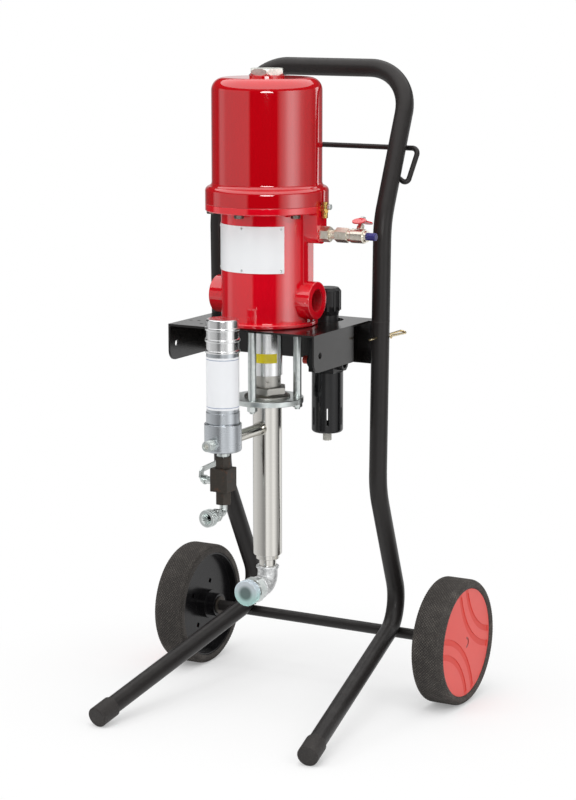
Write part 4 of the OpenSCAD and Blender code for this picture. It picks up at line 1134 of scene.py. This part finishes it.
@dataclass
class PaintFilter(Assembly):
    """The filter with its blank sleeve, the outlets and the bleed valve under it."""

    SURFACES: ClassVar[Surfaces] = {
        Finishes.FILTER_STEEL: ("filter_base", "filter_body"),
        Finishes.ALUMINIUM: ("filter_cap",),
        Finishes.STEEL: ("filter_screen",),
        Finishes.ZINC: ("filter_fittings", "bleed_lever"),
        Finishes.BLACKENED: ("bleed_valve_body",),
    }

    sleeve: Label = Label(30.55 * MM, (630 * MM, 728 * MM), 0.14 * MM, degrees=(93, 447), steps=120)
    lower_outlet: Point = (0.0, FILTER_Y, 431 * MM)
    upper_outlet: Point = (0.0, FILTER_Y, 567 * MM)
    lower_thread: Thread = Thread(16.3 * MM, 46.5 * MM, 60 * MM, pitch=2.4 * MM, depth=0.35 * MM)
    upper_thread: Thread = Thread(9.5 * MM, 44.5 * MM, 60 * MM, pitch=1.6 * MM, depth=0.6 * MM)
    plug_outline: tuple[tuple[float, float], ...] = (
        (0.001, 46.0), (5.45, 46.0), (5.45, 59.0), (2.2, 59.0), (2.2, 56.5), (0.001, 56.5),
    )

    def build(self) -> None:
        """Makes the sleeve, the threads of both outlets and the plug of the upper one."""
        sleeve = Mesh()
        sleeve.add(self.sleeve.shape(), at((0.0, FILTER_Y, 0.0)))
        sleeve.piece("filter_sleeve", Finishes.SLEEVE, self.body, smooth=False)
        front = Vector(Way.FRONT.value)
        threads = Mesh()
        threads.add(self.lower_thread.shape(), at(self.lower_outlet, front))
        threads.add(self.upper_thread.shape(), at(self.upper_outlet, front))
        threads.piece("outlet_threads", Finishes.ZINC, self.body)
        plug = Mesh()
        plug.add(lathe(np.array(self.plug_outline) * MM, 32), at(self.upper_outlet, front))
        plug.piece("outlet_plug", Finishes.SATIN_ZINC, self.body, smooth=False)


@dataclass
class AirRegulator(Assembly):
    """The air regulator that hangs behind the bracket."""

    SURFACES: ClassVar[Surfaces] = {
        Finishes.NYLON: ("regulator_body", "regulator_knob"),
        Finishes.BOWL: ("regulator_bowl",),
        Finishes.WHITE_PLASTIC: ("regulator_drain",),
        Finishes.BRACKET: ("regulator_bracket",),
        Finishes.RED_PLASTIC: ("regulator_plug",),
    }


# ---------------------------------------------------------------- studio
@dataclass(frozen=True)
class SoftBox:
    """A round lamp that shines at the pump and doesn't show in reflections."""

    name: str
    spot: Point
    size: tuple[float, float]
    power: float
    target: Point = (0.0, 0.0, 0.65)

    def build(self) -> None:
        """Makes the lamp."""
        data = bpy.data.lights.new(self.name, "AREA")
        data.shape = "ELLIPSE"
        data.size, data.size_y = self.size
        data.energy = self.power
        made = bpy.data.objects.new(self.name, data)
        bpy.context.scene.collection.objects.link(made)
        made.location = self.spot
        made.rotation_euler = (Vector(self.spot) - Vector(self.target)).to_track_quat("Z", "Y").to_euler()
        made.visible_glossy = False


@dataclass
class Studio:
    """The camera, the pale floor, the soft light and the cards that what shines reflects."""

    camera_at: Point = (2.1915, -3.87647, 1.4372)
    right: Point = (0.87265, 0.48835, 0.0)
    up: Point = (-0.08902, 0.15908, 0.98325)
    back: Point = (0.48017, -0.85803, 0.18229)
    lens: float = 105.333
    floor_half: float = 20.0
    floor_grey: float = 0.93
    white_reach: tuple[float, float] = (0.36, 0.80)
    mirror_reach: tuple[float, float] = (0.6, 1.0)
    shade: float = 0.30
    contact: float = 0.46
    contact_reach: float = 0.14
    contact_samples: int = 8
    sky: float = 0.55
    card_radius: float = 3.4
    card_steps: int = 96
    card_heights: tuple[float, float] = (-0.2, 3.0)
    card_foot: float = 0.26
    card_edge: float = 1.9
    card_head: float = 0.05
    ceiling: float = 1.5
    eye_level: float = 1.42
    eye_size: tuple[float, float] = (0.72, 0.36)
    eye_inset: float = 0.3
    eye_steps: int = 48
    eye_glow: float = 10.0
    peak: float = 2.4
    card: tuple[tuple[float, float], ...] = (
        (-180, 0.8), (-150, 0.10), (-118, 0.05), (-110, 0.7), (-100, 0.72), (-92, 0.48), (-38, 0.50), (-33, 0.0),
        (20, 0.0), (26, 0.42), (36, 0.98), (45, 1.95), (54, 2.15), (64, 1.5), (74, 0.64), (85, 0.36), (97, 0.30),
        (111, 0.12), (116, 0.12), (121, 1.9), (133, 1.9), (138, 0.15), (160, 0.2), (180, 0.8),
    )
    ground: tuple[tuple[float, float], ...] = (
        (-180, 0.5), (-160, 0.66), (-131, 0.85), (-103, 0.86), (-82, 0.74), (-64, 0.66), (-47, 0.52), (-32, 0.38),
        (-18, 0.38), (-10, 1.22), (4, 1.2), (27, 0.9), (43, 1.2), (57, 1.15), (66, 0.9), (84, 0.45),
        (98, 0.35), (110, 0.7), (117, 1.3), (124, 1.1), (140, 1.0), (160, 0.5), (180, 0.5),
    )
    boxes: tuple[SoftBox, ...] = (
        SoftBox("top_box", (0.2, -0.5, 2.9), (2.2, 2.2), 40.0),
        SoftBox("left_box", (-1.9, -2.3, 2.3), (1.4, 1.0), 16.0),
        SoftBox("right_box", (2.7, -0.8, 2.3), (1.4, 1.0), 16.0),
    )

    def camera(self) -> None:
        """Makes the camera."""
        data = bpy.data.cameras.new("camera")
        data.sensor_width = 36.0
        data.lens = self.lens
        data.clip_end = 100.0
        made = bpy.data.objects.new("camera", data)
        bpy.context.scene.collection.objects.link(made)
        turn = Matrix((self.right, self.up, self.back)).transposed().to_4x4()
        made.matrix_world = Matrix.Translation(self.camera_at) @ turn
        bpy.context.scene.camera = made

    def sheet(self, name: str, points: list[Point], faces: list[tuple[int, ...]]) -> tuple[bpy.types.Object, Graph]:
        """Makes a sheet of the studio.

        Args:
            name: Name of the sheet and its material.
            points: Its corners.
            faces: Its faces.

        Returns:
            The sheet and the empty graph of its material.
        """
        data = bpy.data.meshes.new(name)
        data.from_pydata(points, [], faces)
        made = bpy.data.objects.new(name, data)
        bpy.context.scene.collection.objects.link(made)
        material = bpy.data.materials.new(name)
        material.use_nodes = True
        data.materials.append(material)
        return made, Graph(material.node_tree)

    def round_about(self, graph: Graph, levels: tuple[tuple[float, float], ...]) -> Wire:
        """Brightness by direction as seen from the object.

        Args:
            graph: The sheet's graph.
            levels: Pairs of degrees to the right of the camera and brightness.

        Returns:
            The brightness.
        """
        x, y, _ = graph.axes()
        flat = math.hypot(self.back[0], self.back[1])
        ahead = x * (self.back[0] / flat) + y * (self.back[1] / flat)
        aside = x * self.right[0] + y * self.right[1]
        turn = aside.maths("ARCTAN2", aside, ahead) / (2 * math.pi) + 0.5
        stops = [(angle / 360 + 0.5, value / self.peak) for angle, value in levels]
        return graph.node("ShaderNodeValToRGB", {"stops": stops}, {0: turn}) * self.peak

    def floor(self) -> None:
        """Makes the floor, which fades into plain white away from the object."""
        half = self.floor_half
        corners = [(-half, -half, 0.0), (half, -half, 0.0), (half, half, 0.0), (-half, half, 0.0)]
        _, graph = self.sheet("floor", corners, [(0, 1, 2, 3)])
        x, y, _ = graph.axes()
        reach = (x * x + y * y) ** 0.5
        covered = {"Distance": self.contact_reach}
        bare = graph.node("ShaderNodeAmbientOcclusion", {"samples": self.contact_samples}, covered).output("AO")
        shaded = (1.0 - reach.span(*self.white_reach)) * (self.shade + (1.0 - bare) * self.contact)
        glossy = graph.node("ShaderNodeLightPath", output="Is Glossy Ray")
        cards = glossy * reach.span(*self.mirror_reach)
        light = (1.0 - cards) + cards * self.round_about(graph, self.ground)
        lit = graph.node("ShaderNodeBsdfDiffuse", inputs={"Color": rgba((self.floor_grey,) * 3)})
        plain = graph.node("ShaderNodeEmission", inputs={"Color": light, "Strength": 1.0})
        share = (1.0 - shaded) * self.seen(graph)
        mixed = graph.node("ShaderNodeMixShader", inputs={0: share, 1: lit, 2: plain})
        graph.node("ShaderNodeOutputMaterial", inputs={"Surface": mixed})

    @staticmethod
    def seen(graph: Graph) -> Wire:
        """1 for what the eye sees, directly, in a gloss or through a clear piece, else 0."""
        path = graph.node("ShaderNodeLightPath")
        return path + path.output("Is Glossy Ray") + path.output("Is Transmission Ray")

    def cards(self) -> None:
        """Makes the ring of soft boxes and dark cards that only reflections show."""
        steps = self.card_steps
        points, faces = [], []
        for k in range(steps):
            a = 2 * math.pi * k / steps
            x, y = self.card_radius * math.cos(a), self.card_radius * math.sin(a)
            points += [(x, y, z) for z in self.card_heights]
            n = 2 * ((k + 1) % steps)
            faces.append((2 * k, n, n + 1, 2 * k + 1))
        ring, graph = self.sheet("cards", points, faces)
        height = graph.axes()[2]
        foot, head = height < self.card_foot, height > self.card_edge
        upper = self.round_about(graph, self.card) * (1.0 - head) + head * self.card_head
        self.glow(ring, graph, upper * (1.0 - foot) + self.round_about(graph, self.ground) * foot)
        disc = [points[2 * k + 1] for k in range(steps)]
        roof, graph = self.sheet("ceiling_card", disc, [tuple(range(steps))])
        self.glow(roof, graph, self.ceiling)
        flat = Vector((self.back[0], self.back[1], 0.0)).normalized()
        middle = flat * (self.card_radius - self.eye_inset) + Vector((0.0, 0.0, self.eye_level))
        wide, tall = Vector(self.right) * self.eye_size[0], Vector((0.0, 0.0, self.eye_size[1]))
        turns = np.linspace(0.0, 2 * math.pi, self.eye_steps, endpoint=False)
        oval = [tuple(middle + wide * math.cos(a) + tall * math.sin(a)) for a in turns]
        eye, graph = self.sheet("eye_card", oval, [tuple(range(len(oval)))])
        self.glow(eye, graph, self.eye_glow)

    @staticmethod
    def glow(card: bpy.types.Object, graph: Graph, light: Wire | float) -> None:
        """Lets a card glow in reflections only.

        Args:
            card: The card.
            graph: The graph of its material.
            light: How bright it is.
        """
        inputs = {"Color": light, "Strength": 1.0} if isinstance(light, Wire) else {"Strength": light}
        shader = graph.node("ShaderNodeEmission", inputs=inputs)
        graph.node("ShaderNodeOutputMaterial", inputs={"Surface": shader})
        card.visible_camera = False
        card.visible_diffuse = False
        card.visible_shadow = False
        card.visible_transmission = False

    def world(self) -> None:
        """White to the eye and to what shines, dimmer as light on the object."""
        world = bpy.data.worlds.new("studio")
        bpy.context.scene.world = world
        world.use_nodes = True
        graph = Graph(world.node_tree)
        light = self.seen(graph) + graph.node("ShaderNodeLightPath", output="Is Diffuse Ray") * self.sky
        sky = graph.node("ShaderNodeBackground", inputs={"Color": light, "Strength": 1.0})
        graph.node("ShaderNodeOutputWorld", inputs={"Surface": sky})

    def build(self) -> None:
        """Makes all of the studio."""
        bpy.context.scene.view_settings.view_transform = "Standard"
        self.camera()
        self.floor()
        self.cards()
        self.world()
        for box in self.boxes:
            box.build()


def main() -> None:
    """Builds the studio and each assembly in order."""
    logging.basicConfig(level=logging.INFO, format="%(name)s %(message)s")
    Studio().build()
    for assembly in (
        Cart(),
        Wheel(side=Side.LEFT),
        Wheel(side=Side.RIGHT),
        AirMotor(),
        AirInlet(),
        Pump(),
        PaintFilter(),
        AirRegulator(),
    ):
        assembly.dress()
        assembly.build()


if __name__ == "__main__":
    main()
